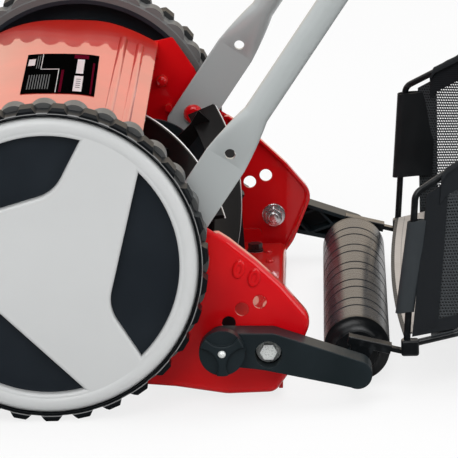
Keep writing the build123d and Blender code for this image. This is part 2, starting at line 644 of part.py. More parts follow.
def height_arm():
    """Moulded arm: flat outer face, open inner side with crossed ribs, bosses at its three bores."""
    body = slab(arm_outline(), ARM_IN, ARM_OUT)
    outer_edges = body.faces().sort_by(Axis.Y)[-1].edges()
    body = fillet(outer_edges, 0.8)
    body -= slab(arm_outline(ARM_WALL), ARM_IN - 1, ARM_OUT - ARM_WALL)
    inside = slab(arm_outline(1.0), ARM_IN + 2, ARM_OUT - 1)
    bay = (ROLLER_X - PIVOT[0]) / 2
    for place in (0.5, 1.5):
        for side in (-1, 1):
            tilt = side * 33 - 14.5
            rib = Pos(PIVOT[0] + bay * place, (ARM_IN + ARM_OUT) / 2, PIVOT[1] - 14.5 * place / 2)
            body += inside & (rib * Rot(0, -tilt, 0) * Box(60, ARM_DEPTH, 2))
    for (x, z), radius in ((KNOB_POINT, 9), (PIVOT, 11.5), (ROLLER, 8)):
        body += rod(x, z, radius, ARM_IN, ARM_OUT - 1)
    body -= rod(*KNOB_POINT, STUD_RADIUS + RUN, ARM_IN - 1, ARM_OUT + 1)
    body -= rod(*PIVOT, 4 + RUN, ARM_IN - 1, ARM_OUT + 1)
    body -= rod(*PIVOT, 9.8, ARM_OUT - BOLT_POCKET, ARM_OUT + 1)
    body -= rod(*ROLLER, ROLLER_AXLE, ARM_IN - 1, ARM_OUT - ARM_WALL)
    return body


def pivot_bolt():
    """Flanged hexagon bolt through arm and plate, its head low in the arm's counterbore."""
    seat = ARM_OUT - BOLT_POCKET + 0.2
    bolt = rod(*PIVOT, 4, PLATE_IN - 11, seat)
    flange = turned([(0, seat), (9, seat), (9, seat + 1), (7, seat + 2.4), (0, seat + 2.4)], *PIVOT)
    return bolt + flange + hexagon(*PIVOT, 11, seat + 2, seat + 7.5)


def pivot_nut():
    """Flanged nut of the arm's pivot bolt on the inner face of the side plate."""
    nut = turned([
        (4, PLATE_IN), (9.4, PLATE_IN), (9.4, PLATE_IN - 1.2), (7, PLATE_IN - 2.6), (4, PLATE_IN - 2.6),
    ], *PIVOT)
    return nut + (hexagon(*PIVOT, 13, PLATE_IN - 8, PLATE_IN - 2) - rod(*PIVOT, 4, PLATE_IN - 9, PLATE_IN))


def pivot_spacer():
    """Flanged sleeve that keeps the arm off the side plate."""
    return ring(*PIVOT, 9, 4, PLATE_OUT, ARM_IN - RUN)


def roller_axle():
    """Steel bar carrying the roller between the two arms."""
    end = ARM_OUT - ARM_WALL - 0.2
    return rod(*ROLLER, ROLLER_AXLE, -end, end)


def roller_drum():
    """Ribbed roller: pairs of fine grooves in a long barrel with a bore for the axle."""
    half = ROLLER_LENGTH / 2 - ROLLER_CAP
    drum = ring(*ROLLER, ROLLER_RADIUS, ROLLER_RADIUS - 4, -half, half)
    for pair in (-2, -1, 0, 1, 2):
        for side in (-1, 1):
            y = pair * GROOVE_PERIOD + side * GROOVE_PAIR / 2
            cut = ring(*ROLLER, ROLLER_RADIUS + 1, ROLLER_RADIUS - GROOVE, y - GROOVE / 2, y + GROOVE / 2)
            drum -= cut
    return drum


def roller_cap():
    """Rounded end cap plugged in the drum, with the bearing bore for the axle."""
    start = ROLLER_LENGTH / 2 - ROLLER_CAP
    end = ROLLER_LENGTH / 2
    bore = ROLLER_AXLE + RUN
    profile = make_face([
        Polyline((bore, start - 10), (ROLLER_RADIUS - 4, start - 10), (ROLLER_RADIUS - 4, start),
                 (ROLLER_RADIUS, start), (ROLLER_RADIUS, end - 9)),
        RadiusArc((ROLLER_RADIUS, end - 9), (ROLLER_RADIUS - 9, end), 9),
        Polyline((ROLLER_RADIUS - 9, end), (bore, end), (bore, start - 10)),
    ])
    return Pos(ROLLER_X, 0, ROLLER_RADIUS) * revolve(profile, Axis.Y)


def knob(x, z, seat, bore):
    """Round clamping knob with three lens-shaped finger recesses, facing outwards from its seat."""
    radius = KNOB_RADIUS
    body = rod(x, z, radius, seat, seat + KNOB_DEPTH)
    for turn in (90, 210, 330):
        scallop = slab(Pos(*polar(radius * 1.2, turn, (x, z))) * Circle(radius * 0.87),
                       seat + KNOB_DEPTH - KNOB_RECESS, seat + KNOB_DEPTH + 1)
        body -= scallop
    rim = body.faces().sort_by(Axis.Y)[-1].edges()
    body = chamfer(rim, 0.7)
    return body - rod(x, z, bore, seat - 1, seat + KNOB_DEPTH + 1)


def knob_stud(x, z, inner, outer):
    """Threaded stud fixed in a knob, with a domed bright end."""
    return rod(x, z, STUD_RADIUS, inner, outer) + Pos(x, outer, z) * Sphere(STUD_RADIUS - 0.1)


# ------------------------------------------------------------------ handle
def along_handle(part, plane):
    """Place a part drawn along z about its pin onto the leaning handle line, off the mid-plane."""
    return Pos(HANDLE_PIN[0], plane, HANDLE_PIN[1]) * Rot(0, HANDLE_LEAN, 0) * part


def handle_point(distance):
    """Point (x, z) on the handle's centre line at a distance from the pin."""
    return (HANDLE_PIN[0] + distance * sin(LEAN), HANDLE_PIN[1] + distance * cos(LEAN))


def lower_tube():
    """Lower handle tube: pressed flat at the pin, swelling to a round tube, a cross hole at the flat."""
    flat_end, round_start = 62, 102
    flat_face = Plane.XY.offset(flat_end) * RectangleRounded(FLAT_WIDTH, FLAT, 1.2)
    foot = 20
    end = Pos(0, 0, -foot) * Box(FLAT_WIDTH, FLAT, flat_end + foot, align=UP)
    end = fillet(end.edges().filter_by(Axis.Y).sort_by(Axis.Z)[0:2], 9)
    tongue = extrude(flat_face, amount=flat_end + foot, dir=(0, 0, -1)) & end
    oval = Plane.XY.offset((flat_end + round_start) / 2 - 4) * Ellipse(FLAT_WIDTH * 0.44, TUBE * 0.33)
    circle = Plane.XY.offset(round_start) * Circle(TUBE / 2)
    swell = loft([flat_face, oval, circle])
    top = LOWER_LENGTH + 22
    tube = Pos(0, 0, round_start) * Cylinder(TUBE / 2, top - round_start, align=UP)
    bore = Pos(0, 0, round_start) * Cylinder(TUBE / 2 - TUBE_WALL, top, align=UP)
    body = tongue + swell + (tube - bore)
    body -= Rot(90, 0, 0) * Cylinder(4, 30)
    body -= Pos(0, 0, flat_end + 6) * Rot(90, 0, 0) * Cylinder(4, 30)
    body -= Pos(0, 0, LOWER_LENGTH) * Rot(90, 0, 0) * Cylinder(BOLT_RADIUS + RUN, 30)
    return along_handle(body, TUBE_PLANE)


def tube_plug():
    """Black cap closing the top of a lower tube."""
    top = LOWER_LENGTH + 22
    cap = Pos(0, 0, top) * Cylinder(TUBE / 2, 3, align=UP)
    cap = fillet(cap.edges().sort_by(Axis.Z)[-1], 2)
    return along_handle(cap + Pos(0, 0, top - 8) * Cylinder(TUBE / 2 - TUBE_WALL, 8, align=UP), TUBE_PLANE)


def handle_pin():
    """Red headed pin: domed head on the inner side, spacer collar, and riveted outside the plate."""
    x, z = HANDLE_PIN
    face = TUBE_PLANE - FLAT / 2
    head = Pos(x, face - 0.3, z) * Sphere(8) & rod(x, z, 9, face - 6.3, face - 0.3)
    pin = rod(x, z, 4 - RUN, face - 1, PLATE_OUT)
    return head + pin + rod(x, z, 7, PLATE_OUT, PLATE_OUT + 2)


def pin_spacer():
    """Washer between the flattened tube and the side plate."""
    return ring(*HANDLE_PIN, 10, 4, TUBE_PLANE + FLAT / 2 + 0.2, PLATE_IN)


def stop_peg():
    """Peg that the flat of the handle rests against at both ends of its swing."""
    reach = (FLAT_WIDTH / 2 + 3 + 0.2) / cos(radians(HANDLE_SWING / 2))
    x, z = polar(reach, 90 - HANDLE_LEAN + 90 + HANDLE_SWING / 2, HANDLE_PIN)
    return rod(x, z, 3, TUBE_PLANE - FLAT, PLATE_IN)


def upper_bar():
    """U-shaped upper handle, its ends just past the fold bolts."""
    foot = LOWER_LENGTH - 22
    top = LOWER_LENGTH + UPPER_LENGTH
    path = FilletPolyline(
        (0, -UPPER_PLANE, foot), (0, -UPPER_PLANE, top), (0, UPPER_PLANE, top), (0, UPPER_PLANE, foot),
        radius=BEND_RADIUS,
    )
    start = Plane(origin=(0, -UPPER_PLANE, foot), z_dir=(0, 0, 1))
    body = sweep(start * (Circle(TUBE / 2) - Circle(TUBE / 2 - TUBE_WALL)), path=path)
    body -= Pos(0, 0, LOWER_LENGTH) * Rot(90, 0, 0) * Cylinder(BOLT_RADIUS + RUN, 3 * UPPER_PLANE)
    return along_handle(body, 0)


def grip():
    """Foam grip on the cross bar between the bends."""
    half = UPPER_PLANE - BEND_RADIUS - 2
    x, z = handle_point(LOWER_LENGTH + UPPER_LENGTH)
    sleeve = ring(x, z, GRIP_RADIUS, TUBE / 2, -half, half)
    rims = sleeve.edges().filter_by(GeomType.CIRCLE).group_by(SortBy.RADIUS)[-1]
    return fillet(rims, 4)


def saddle():
    """Plastic washer hollowed to seat the lower tube, and flat where the upper tube turns against it."""
    x, z = handle_point(LOWER_LENGTH)
    inner = UPPER_PLANE + TUBE / 2
    washer = rod(x, z, TUBE / 2 + 0.5, inner + RUN, inner + SADDLE + 2.5)
    lower = along_handle(Pos(0, 0, LOWER_LENGTH) * Cylinder(TUBE / 2, 60), TUBE_PLANE)
    return washer - lower - rod(x, z, BOLT_RADIUS + RUN, inner - 1, inner + 10)


def fold_bolt():
    """Carriage bolt through both tubes, its domed head inside the upper tube's leg."""
    x, z = handle_point(LOWER_LENGTH)
    inner = UPPER_PLANE - TUBE / 2
    head = Pos(x, inner - 0.1, z) * Sphere(7) & rod(x, z, 8, inner - 4, inner - 0.1)
    return rod(x, z, BOLT_RADIUS, inner - 1, TUBE_PLANE + TUBE / 2 + KNOB_DEPTH - 2) + head


# ------------------------------------------------------------------ grass catcher
def clip_line(part):
    """Place a part drawn along x onto the sloping centre line of the right clip, over the roller axle."""
    return Pos(CLIP_X, CATCHER_PLANE, CLIP_TOP - CLIP_HEIGHT / 2) * Rot(0, CLIP_SLOPE, 0) * part


def clip_underside(x):
    """Height of the clip's underside at a distance x to the rear."""
    return CLIP_TOP - CLIP_HEIGHT - (x - CLIP_X) * tan(radians(CLIP_SLOPE))


def catcher_clip():
    """Black clip that turns on the roller axle and takes the catcher's tongue from behind."""
    channel = fillet(Box(CLIP_LENGTH, CLIP_WIDTH, CLIP_HEIGHT).edges().filter_by(Axis.X), 1)
    pocket = Pos(2, 0, 0) * Box(CLIP_LENGTH, TONGUE_WIDTH + 0.6, TONGUE_DEPTH + 0.6)
    body = clip_line(channel - pocket)
    front, rear = ROLLER_X - 4, ROLLER_X + 12
    neck = Polygon(
        (ROLLER_X - 7, ROLLER_RADIUS), (ROLLER_X + 7, ROLLER_RADIUS), (rear, clip_underside(rear) + 0.7),
        (front, clip_underside(front) + 0.7), align=None,
    )
    y_from, y_to = CATCHER_PLANE - CLIP_WIDTH / 2, CATCHER_PLANE + CLIP_WIDTH / 2
    eye = rod(*ROLLER, 8, y_from, y_to) + slab(neck, y_from, y_to)
    eye -= clip_line(Box(CLIP_LENGTH + 20, 20, CLIP_HEIGHT - 2))
    return body + eye - rod(*ROLLER, ROLLER_AXLE + RUN, y_from - 1, y_to + 1)


def roller_spacers():
    """Sleeves on the roller axle either side of each clip."""
    clip_in, clip_out = CATCHER_PLANE - CLIP_WIDTH / 2, CATCHER_PLANE + CLIP_WIDTH / 2
    inner = ring(*ROLLER, 7, ROLLER_AXLE, ROLLER_LENGTH / 2 + CLEAR, clip_in - CLEAR)
    outer = ring(*ROLLER, 7, ROLLER_AXLE, clip_out + CLEAR, ARM_IN)
    return both(inner) + both(outer)


def elbow():
    """Plastic elbow of the catcher: a tongue for the clip and a block that takes the wire ends."""
    tongue = Box(CLIP_LENGTH + 6, TONGUE_WIDTH, TONGUE_DEPTH)
    tongue = clip_line(Pos(ELBOW_GAP - 2.5, 0, 0) * fillet(tongue.edges().filter_by(Axis.Y), 1))
    block = Pos(TAIL_RUN + 2.5, CATCHER_PLANE, ELBOW_Z - 0.5) * Box(13, 10, 12)
    block = fillet(block.edges(), 2)
    body = block + tongue
    return body - upright(WIRE) - lower_wire(WIRE)


def upright(radius):
    """Straight front stretch of the catcher's upper wire, on the right."""
    foot = Vector(TAIL_RUN, CATCHER_PLANE, ELBOW_Z + 1)
    top = Vector(UPRIGHT_TOP[0], CATCHER_PLANE, UPRIGHT_TOP[1])
    axis = top - foot
    return Plane(foot, z_dir=axis) * Cylinder(radius, axis.length, align=UP)


def lower_wire(radius):
    """Straight side stretch of the catcher's lower wire, on the right."""
    foot = Vector(LOWER_FOOT, CATCHER_PLANE, wire_height(LOWER_FOOT))
    back = Vector(BAG_REAR, CATCHER_PLANE, wire_height(BAG_REAR))
    axis = back - foot
    return Plane(foot, z_dir=axis) * Cylinder(radius, axis.length, align=UP)


def wire_height(x):
    """Height of the lower wire's centre at a distance x to the rear."""
    return ELBOW_Z + 2 + (x - LOWER_FOOT) * FLOOR_RISE


def top_wire():
    """Upper catcher wire: up both fronts, back and inwards along the bag's rim and across its rear."""
    right = [
        (TAIL_RUN, CATCHER_PLANE, ELBOW_Z + 1), (UPRIGHT_TOP[0], CATCHER_PLANE, UPRIGHT_TOP[1]),
        (RIM_MIDDLE[0], RIM_MIDDLE[1], RIM_MIDDLE[2]), (BAG_REAR, RIM_REAR[0], RIM_REAR[1]),
    ]
    left = [(x, -y, z) for x, y, z in reversed(right)]
    path = FilletPolyline(*right, *left, radius=[9, 60, 25, 25, 60, 9])
    start = Plane(origin=path @ 0, z_dir=path % 0)
    return sweep(start * Circle(WIRE), path=path, transition=Transition.RIGHT)


def bottom_wire():
    """Lower catcher wire: a long U under the bag's floor."""
    right = [
        (LOWER_FOOT, CATCHER_PLANE, wire_height(LOWER_FOOT)),
        (BAG_REAR, CATCHER_PLANE, wire_height(BAG_REAR)),
    ]
    left = [(x, -y, z) for x, y, z in reversed(right)]
    path = FilletPolyline(*right, *left, radius=25)
    start = Plane(origin=path @ 0, z_dir=path % 0)
    return sweep(start * Circle(WIRE), path=path, transition=Transition.RIGHT)


def bag_section(x, foot, rim, low, high):
    """Closed cross-section of the bag at x: half widths at foot and rim, and their heights."""
    corners = [(x, -foot, low), (x, foot, low), (x, rim, high), (x, -rim, high)]
    return make_face(Polyline(*corners, close=True))


def bag_body(wall, front, rear, rise):
    """Ruled body of the bag, set in by a wall, with its rim raised by a rise."""
    middle = RIM_MIDDLE[0]
    stations = (
        (front, CATCHER_PLANE + 3, CATCHER_PLANE - 2, UPRIGHT_TOP[1] - 1),
        (middle, CATCHER_PLANE + 3, RIM_MIDDLE[1] + 1, RIM_MIDDLE[2] - 5.5),
        (rear, CATCHER_PLANE, RIM_REAR[0] + 2, RIM_REAR[1] - 3),
    )
    sections = []
    for x, foot, rim, high in stations:
        low = wire_height(x) + WIRE + 0.5
        lean = (foot - rim) / (high - low)
        sections.append(bag_section(
            x, foot - wall * (1 + lean), rim - wall - lean * rise, low + wall, high + rise,
        ))
    return loft(sections, ruled=True)


def catcher_bag():
    """Fabric bag as a thin-walled trough, open in front and above."""
    rear = BAG_REAR - WIRE - 0.3
    outer = bag_body(0, BAG_FRONT, rear, 0)
    inner = bag_body(BAG_WALL, BAG_FRONT - 0.01, rear - BAG_WALL, 40)
    return outer - inner - Pos(BAG_FRONT - 5, 0, 150) * Box(10, 2 * (CATCHER_PLANE + 10), 300)


def catcher_floor():
    """Stiff floor sheet on the bag's floor, its front lip reaching towards the roller."""
    def height(x):
        return wire_height(x) + WIRE + 0.5 + BAG_WALL + 0.3

    front, rear = LIP_X, BAG_REAR - 12
    side = Polygon(
        (front, height(front)), (rear, height(rear)), (rear, height(rear) + FLOOR_SHEET),
        (front, height(front) + FLOOR_SHEET), align=None,
    )
    plan = make_face([
        ThreePointArc((front + LIP_BOW, -LIP_HALF), (front, 0), (front + LIP_BOW, LIP_HALF)),
        Polyline((front + LIP_BOW, LIP_HALF), (rear, LIP_HALF), (rear, -LIP_HALF),
                 (front + LIP_BOW, -LIP_HALF)),
    ])
    return slab(side, -LIP_HALF, LIP_HALF) & extrude(plan, amount=BAG_REAR)


def sleeve():
    """Fabric sleeve wrapped round a front upright."""
    foot = Vector(TAIL_RUN, CATCHER_PLANE, ELBOW_Z + 1)
    top = Vector(UPRIGHT_TOP[0], CATCHER_PLANE, UPRIGHT_TOP[1])
    line = Plane(foot, x_dir=(1, 0, 0), z_dir=top - foot)
    wrap = Pos(1.5, 0, SLEEVE_START + SLEEVE_LENGTH / 2) * Box(17, 9, SLEEVE_LENGTH)
    wrap = fillet(wrap.edges().filter_by(Axis.Z), 4)
    return line * (wrap - Pos(0, 0, 60) * Cylinder(WIRE + CLEAR, 300))


# ------------------------------------------------------------------ the assembly
def parts():
    """Every node of the mower, by name. A list is a group of separate solids in one node."""
    knob_seat = ARM_OUT + CLEAR
    fold_seat = TUBE_PLANE + TUBE / 2 + CLEAR
    pieces = {}
    for side, place in (("right", lambda solid: solid), ("left", mirrored)):
        pieces[f"side_plate_{side}"] = place(side_plate())
        pieces[f"bearing_bracket_{side}"] = place(bearing_bracket())
        pieces[f"tyre_{side}"] = place(tyre())
        pieces[f"wheel_body_{side}"] = place(wheel_body())
        pieces[f"wheel_cap_{side}"] = place(wheel_cap())
        pieces[f"ring_gear_{side}"] = place(ring_gear())
        pieces[f"wheel_bush_{side}"] = place(wheel_bush())
        pieces[f"pinion_{side}"] = place(pinion())
        pieces[f"height_arm_{side}"] = place(height_arm())
        pieces[f"height_knob_{side}"] = place(knob(*KNOB_POINT, knob_seat, STUD_RADIUS))
        pieces[f"knob_stud_{side}"] = place(
            knob_stud(*KNOB_POINT, PLATE_OUT + CLEAR, knob_seat + KNOB_DEPTH - 1)
        )
        pieces[f"lower_tube_{side}"] = place(lower_tube())
        pieces[f"fold_knob_{side}"] = place(knob(*handle_point(LOWER_LENGTH), fold_seat, BOLT_RADIUS + RUN))
    pieces["reel_cover"] = reel_cover()
    screws = cover_screws() + bracket_screws()
    pieces["plate_screws"] = sum([both(screw) for screw in screws], [])
    pieces["reel_bearings"] = sum([both(race) for race in reel_bearing()], [])
    pieces["axle_stubs"] = both(axle_stub())
    pieces["axle_clips"] = both(wheel_clip())
    pieces["knife_carrier"] = knife_carrier()
    pieces["bed_knife"] = bed_knife()
    pieces["knife_screws"] = knife_screws()
    pieces["adjuster_bolts"] = adjuster_bolts() + adjuster_washers()
    pieces["pivot_bolts"] = both(pivot_bolt())
    pieces["plate_nuts"] = both(pivot_nut()) + both(axle_nut())
    pieces["plate_spacers"] = both(pivot_spacer()) + both(pin_spacer())
    pieces["handle_pins"] = both(handle_pin()) + both(stop_peg())
    pieces["reel_shaft"] = reel_shaft()
    pieces["drive_keys"] = both(drive_key())
    pieces["shaft_clips"] = both(shaft_clip())
    notch = Pos(REEL_X, 0, REEL_Z) * blade(0.15)
    blades = Pos(REEL_X, 0, REEL_Z) * blade()
    discs = []
    for count in range(SPIDERS):
        middle = (REEL_LENGTH - 40) * (count / (SPIDERS - 1) - 0.5)
        disc = Pos(REEL_X, 0, REEL_Z) * spider(middle)
        for turn in range(BLADE_COUNT):
            disc -= about_reel(notch, 360 * turn / BLADE_COUNT)
        discs.append(disc)
    pieces["reel_spiders"] = discs
    pieces["reel_blades"] = [about_reel(blades, 360 * turn / BLADE_COUNT) for turn in range(BLADE_COUNT)]
    pieces["roller_axle"] = roller_axle()
    pieces["roller_spacers"] = roller_spacers()
    pieces["roller_drum"] = roller_drum()
    pieces["roller_caps"] = both(roller_cap())
    pieces["tube_plugs"] = both(tube_plug())
    pieces["fold_bolts"] = both(fold_bolt())
    pieces["saddles"] = both(saddle())
    pieces["upper_bar"] = upper_bar()
    pieces["foam_grip"] = grip()
    pieces["catcher_clips"] = both(catcher_clip())
    pieces["catcher_elbows"] = both(elbow())
    pieces["catcher_top_wire"] = top_wire()
    pieces["catcher_bottom_wire"] = bottom_wire()
    pieces["catcher_bag"] = catcher_bag()
    pieces["catcher_floor"] = catcher_floor()
    pieces["catcher_sleeves"] = both(sleeve())
    return pieces


def about_reel(solid, angle):
    """Turn a solid about the reel's axis."""
    return Pos(REEL_X, 0, REEL_Z) * Rot(0, -angle, 0) * Pos(-REEL_X, 0, -REEL_Z) * solid


def export(name, piece):
    """Write one node as STEP, with the origin under the middle of the whole mower."""
    solids = piece if isinstance(piece, list) else [piece]
    placed = [Pos(-ORIGIN_X, 0, 0) * solid for solid in solids]
    node = placed[0] if len(placed) == 1 else Compound(children=placed)
    export_step(node, f"parts/{name}.step")


REAR = handle_point(LOWER_LENGTH + UPPER_LENGTH)[0] + GRIP_RADIUS
ORIGIN_X = (REAR - WHEEL_RADIUS) / 2

os.makedirs("parts", exist_ok=True)
for node_name, node_piece in parts().items():
    export(node_name, node_piece)
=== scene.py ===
# %% [markdown]
# # A hand-pushed reel mower, dressed around its packed frame
# The rigid pieces of this mower come from its CAD model: wheels, plates, reel, arms, roller and tubes all
# stand where the model puts them. This lesson gives each of them its real finish, and models what a CAD
# solid cannot show well: the sewn net bag and its sleeves, the foam grip, the printed label and the small
# stitched and pressed details. Lengths are in metres, X points to the rear, Y to the mower's right.

# %% Load the frame
import bpy
import json
from math import atan2, cos, pi, radians, sin, sqrt, tau
from mathutils import Matrix, Vector, noise


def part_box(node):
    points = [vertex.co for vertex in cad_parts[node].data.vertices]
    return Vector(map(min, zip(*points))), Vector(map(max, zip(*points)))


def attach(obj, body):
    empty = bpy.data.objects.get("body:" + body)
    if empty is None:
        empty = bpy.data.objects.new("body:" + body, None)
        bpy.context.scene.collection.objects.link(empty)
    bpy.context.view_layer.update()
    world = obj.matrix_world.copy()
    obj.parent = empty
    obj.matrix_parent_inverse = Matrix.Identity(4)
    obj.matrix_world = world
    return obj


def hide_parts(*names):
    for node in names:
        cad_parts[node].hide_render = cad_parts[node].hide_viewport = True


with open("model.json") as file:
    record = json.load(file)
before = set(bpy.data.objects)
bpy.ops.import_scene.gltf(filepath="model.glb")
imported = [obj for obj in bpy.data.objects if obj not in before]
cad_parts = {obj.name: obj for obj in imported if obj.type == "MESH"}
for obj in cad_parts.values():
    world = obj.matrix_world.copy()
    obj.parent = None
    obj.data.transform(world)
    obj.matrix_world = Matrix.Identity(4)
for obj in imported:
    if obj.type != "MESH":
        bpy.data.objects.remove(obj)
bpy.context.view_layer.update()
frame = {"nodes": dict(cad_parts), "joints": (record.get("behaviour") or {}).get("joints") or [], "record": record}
nodes = frame["nodes"]

# %% [markdown]
# Everything is placed from the frame. A joint's position is the best reference for a round piece, because
# the wheel, the reel and the roller all turn about theirs. Boxes of nodes give the rest.

# %% Places read from the frame
place = {joint["name"]: Vector(joint.get("pos_m") or (0, 0, 0)) for joint in frame["joints"]}
axle = place["wheel_spin_right"]
reel_axis = place["reel_spin"]
pivot = place["height_adjust"]
roller_axis = place["roller_spin"]
print("axle", axle, "reel", reel_axis, "roller", roller_axis)

# %% [markdown]
# ## Shader sums in plain Python
# Real finishes are layered: paint over steel, dust over rubber, worn edges over both. Wiring dozens of
# maths nodes by hand hides that idea, so one small class wraps a socket and lets Python's own operators
# add the nodes. Numbers go through Math nodes, and colours through a Mix node, because a Math node would
# turn a colour grey.

# %% A socket that can be added, scaled and compared
class Value:
    """The output of a shader node, used like a number."""

    def __init__(self, finish, socket):
        self.finish = finish
        self.socket = socket

    def sum(self, operation, first, second=0.0):
        return self.finish.node("ShaderNodeMath", {"operation": operation}, {0: first, 1: second})

    def __add__(self, other):
        return self.sum("ADD", self, other)

    def __radd__(self, other):
        return self.sum("ADD", other, self)

    def __sub__(self, other):
        return self.sum("SUBTRACT", self, other)

    def __rsub__(self, other):
        return self.sum("SUBTRACT", other, self)

    def __mul__(self, other):
        return self.sum("MULTIPLY", self, other)

    def __rmul__(self, other):
        return self.sum("MULTIPLY", other, self)

    def __truediv__(self, other):
        return self.sum("DIVIDE", self, other)

    def __gt__(self, other):
        return self.sum("GREATER_THAN", self, other)

    def __lt__(self, other):
        return self.sum("LESS_THAN", self, other)

    def absolute(self):
        return self.sum("ABSOLUTE", self)

    def root(self):
        return self.sum("SQRT", self)

    def part_of(self, period):
        """How far the number is through a repeating period, from 0 to 1."""
        return self.sum("FRACT", self / period)

    def wave(self):
        return self.sum("SINE", self)

    def most(self, other):
        return self.sum("MAXIMUM", self, other)

    def ramp(self, low, high):
        """A smooth step from 0 to 1 while the number goes from low to high."""
        settings = {"interpolation_type": "SMOOTHSTEP"}
        inputs = {"Value": self, "From Min": low, "From Max": high}
        return self.finish.node("ShaderNodeMapRange", settings, inputs)


print("Value:", len(vars(Value)), "ways to use a socket")


# %% [markdown]
# A finish is one material. Its single `node` method takes a node's type, the settings that choose what the
# node does, and the values or links of its sockets. Everything else a finish needs, such as a mottled noise
# or a blend of two colours, is a short call of that method. Patterns read Object coordinates: every piece
# keeps its object at the origin, so they are metres in the mower's own frame.

# %% A material under construction
class Finish:
    """A material whose shader is fed by sums of sockets."""

    def __init__(self, name, tree=None, **sockets):
        if tree is None:
            self.material = bpy.data.materials.new(name)
            self.material.use_nodes = True
            tree = self.material.node_tree
        self.tree = tree
        self.shader = tree.nodes.get("Principled BSDF")
        for socket, value in sockets.items():
            self.feed(self.shader.inputs[socket.replace("_", " ")], value)

    def feed(self, socket, value):
        if isinstance(value, Value):
            self.tree.links.new(value.socket, socket)
        elif value is not None:
            socket.default_value = value

    def node(self, kind, settings=None, inputs=None, output=0):
        made = self.tree.nodes.new(kind)
        for name, value in (settings or {}).items():
            setattr(made, name, value)
        for name, value in (inputs or {}).items():
            self.feed(made.inputs[name], value)
        return Value(self, made.outputs[output])

    def where(self, output="Object"):
        return self.node("ShaderNodeTexCoord", output=output)

    def ray(self, name):
        """Whether the ray that sees the surface is of a kind."""
        return self.node("ShaderNodeLightPath", output=name)

    def axes(self, vector):
        split = self.node("ShaderNodeSeparateXYZ", inputs={0: vector})
        return [Value(self, socket) for socket in split.socket.node.outputs]

    def moved(self, vector, location=(0, 0, 0), scale=(1, 1, 1)):
        inputs = {"Vector": vector, "Location": location, "Scale": scale}
        return self.node("ShaderNodeMapping", inputs=inputs)

    def mottle(self, scale, detail=3.0, roughness=0.5, vector=None):
        inputs = {"Vector": vector or self.where(), "Scale": scale}
        inputs.update({"Detail": detail, "Roughness": roughness})
        return self.node("ShaderNodeTexNoise", inputs=inputs)

    def grains(self, scale):
        return self.node("ShaderNodeTexVoronoi", inputs={"Vector": self.where(), "Scale": scale})

    def blend(self, share, first, second):
        """A colour between two colours, which a Mix node takes in 6 and 7 and gives from 2."""
        inputs = {0: share, 6: first, 7: second}
        return self.node("ShaderNodeMix", {"data_type": "RGBA"}, inputs, output=2)

    def bump(self, height, strength, distance=0.001, edge=0.0):
        """Relief from a height, with the normals of sharp edges rounded over a radius."""
        inputs = {"Height": height, "Strength": strength, "Distance": distance}
        if edge:
            inputs["Normal"] = self.node("ShaderNodeBevel", {"samples": 4}, {"Radius": edge})
        self.feed(self.shader.inputs["Normal"], self.node("ShaderNodeBump", inputs=inputs))

    def colour(self, value):
        self.feed(self.shader.inputs["Base Color"], value)

    def roughness(self, value):
        self.feed(self.shader.inputs["Roughness"], value)


def rgb(red, green, blue):
    """A linear colour with full alpha."""
    return (red, green, blue, 1.0)


def band(value, low, high):
    """1 between two values, and 0 outside them."""
    return (value > low) * (value < high)


print("Finish: one method adds every node")

# %% [markdown]
# ## Camera
# The mower is seen from its left side through a long lens, a little from above. The long lens is what keeps
# the near and far wheels almost the same size. The camera's place is given from the wheel axle, since that
# is the piece the view is built around.

# %% The camera
PITCH = radians(13.5)
YAW = radians(1.05)
ROLL = radians(1.4)
PICTURE = 458
FOCAL = 4620
SENSOR = 36.0
CAMERA_PLACE = (axle.x + 0.20752, -3.44115, 0.90340)

camera_data = bpy.data.cameras.new("camera")
camera_data.sensor_width = SENSOR
camera_data.lens = SENSOR * FOCAL / PICTURE
camera_data.clip_start = 0.1
camera_data.clip_end = 40.0
camera = bpy.data.objects.new("camera", camera_data)
bpy.context.scene.collection.objects.link(camera)
aim = Matrix.Rotation(ROLL, 3, "Y") @ Matrix.Rotation(YAW, 3, "Z") @ Matrix.Rotation(pi / 2 - PITCH, 3, "X")
camera.matrix_world = Matrix.Translation(CAMERA_PLACE) @ aim.to_4x4()
bpy.context.scene.camera = camera
print("lens", round(camera_data.lens, 1), "mm")

# %% [markdown]
# ## Light, floor and background
# A studio for a product on white is a pale sweep lit by large soft lamps. The lamps stay at a plain level
# so that a colour renders about as it is written. The white comes from the background itself: camera rays
# and reflections see a strength of 1, and the floor mixes some of that white into its shadows. Mirrored
# surfaces also need something dark to hold, so reflections find a black flag in front of the set, and a
# warm card behind it.

# %% The world
world = bpy.data.worlds.new("studio")
bpy.context.scene.world = world
world.use_nodes = True
sky = Finish("studio", tree=world.node_tree)
is_camera = sky.ray("Is Camera Ray")
is_glossy = sky.ray("Is Glossy Ray")
is_through = sky.ray("Is Transmission Ray")
outward = sky.axes(sky.where("Generated"))
behind = outward[1].ramp(0.35, 0.85) * (1.0 - outward[2].ramp(0.25, 0.7))
ahead = (-1.0 * outward[1]).ramp(0.15, 0.7)
AMBIENT = 0.5
FLAG = 0.93
mirrored_sky = 1.0 - FLAG * ahead
seen = is_camera.most(is_through)
strength = seen + is_glossy * (1.0 - seen) * mirrored_sky
plain = AMBIENT * (1.0 - seen.most(is_glossy))
background = world.node_tree.nodes["Background"]
warm = sky.blend(is_glossy * (1.0 - seen) * behind, rgb(1.0, 1.0, 1.0), rgb(1.0, 0.84, 0.66))
sky.feed(background.inputs["Color"], warm)
sky.feed(background.inputs["Strength"], strength + plain)
print("world: ambient", AMBIENT, "and white behind")


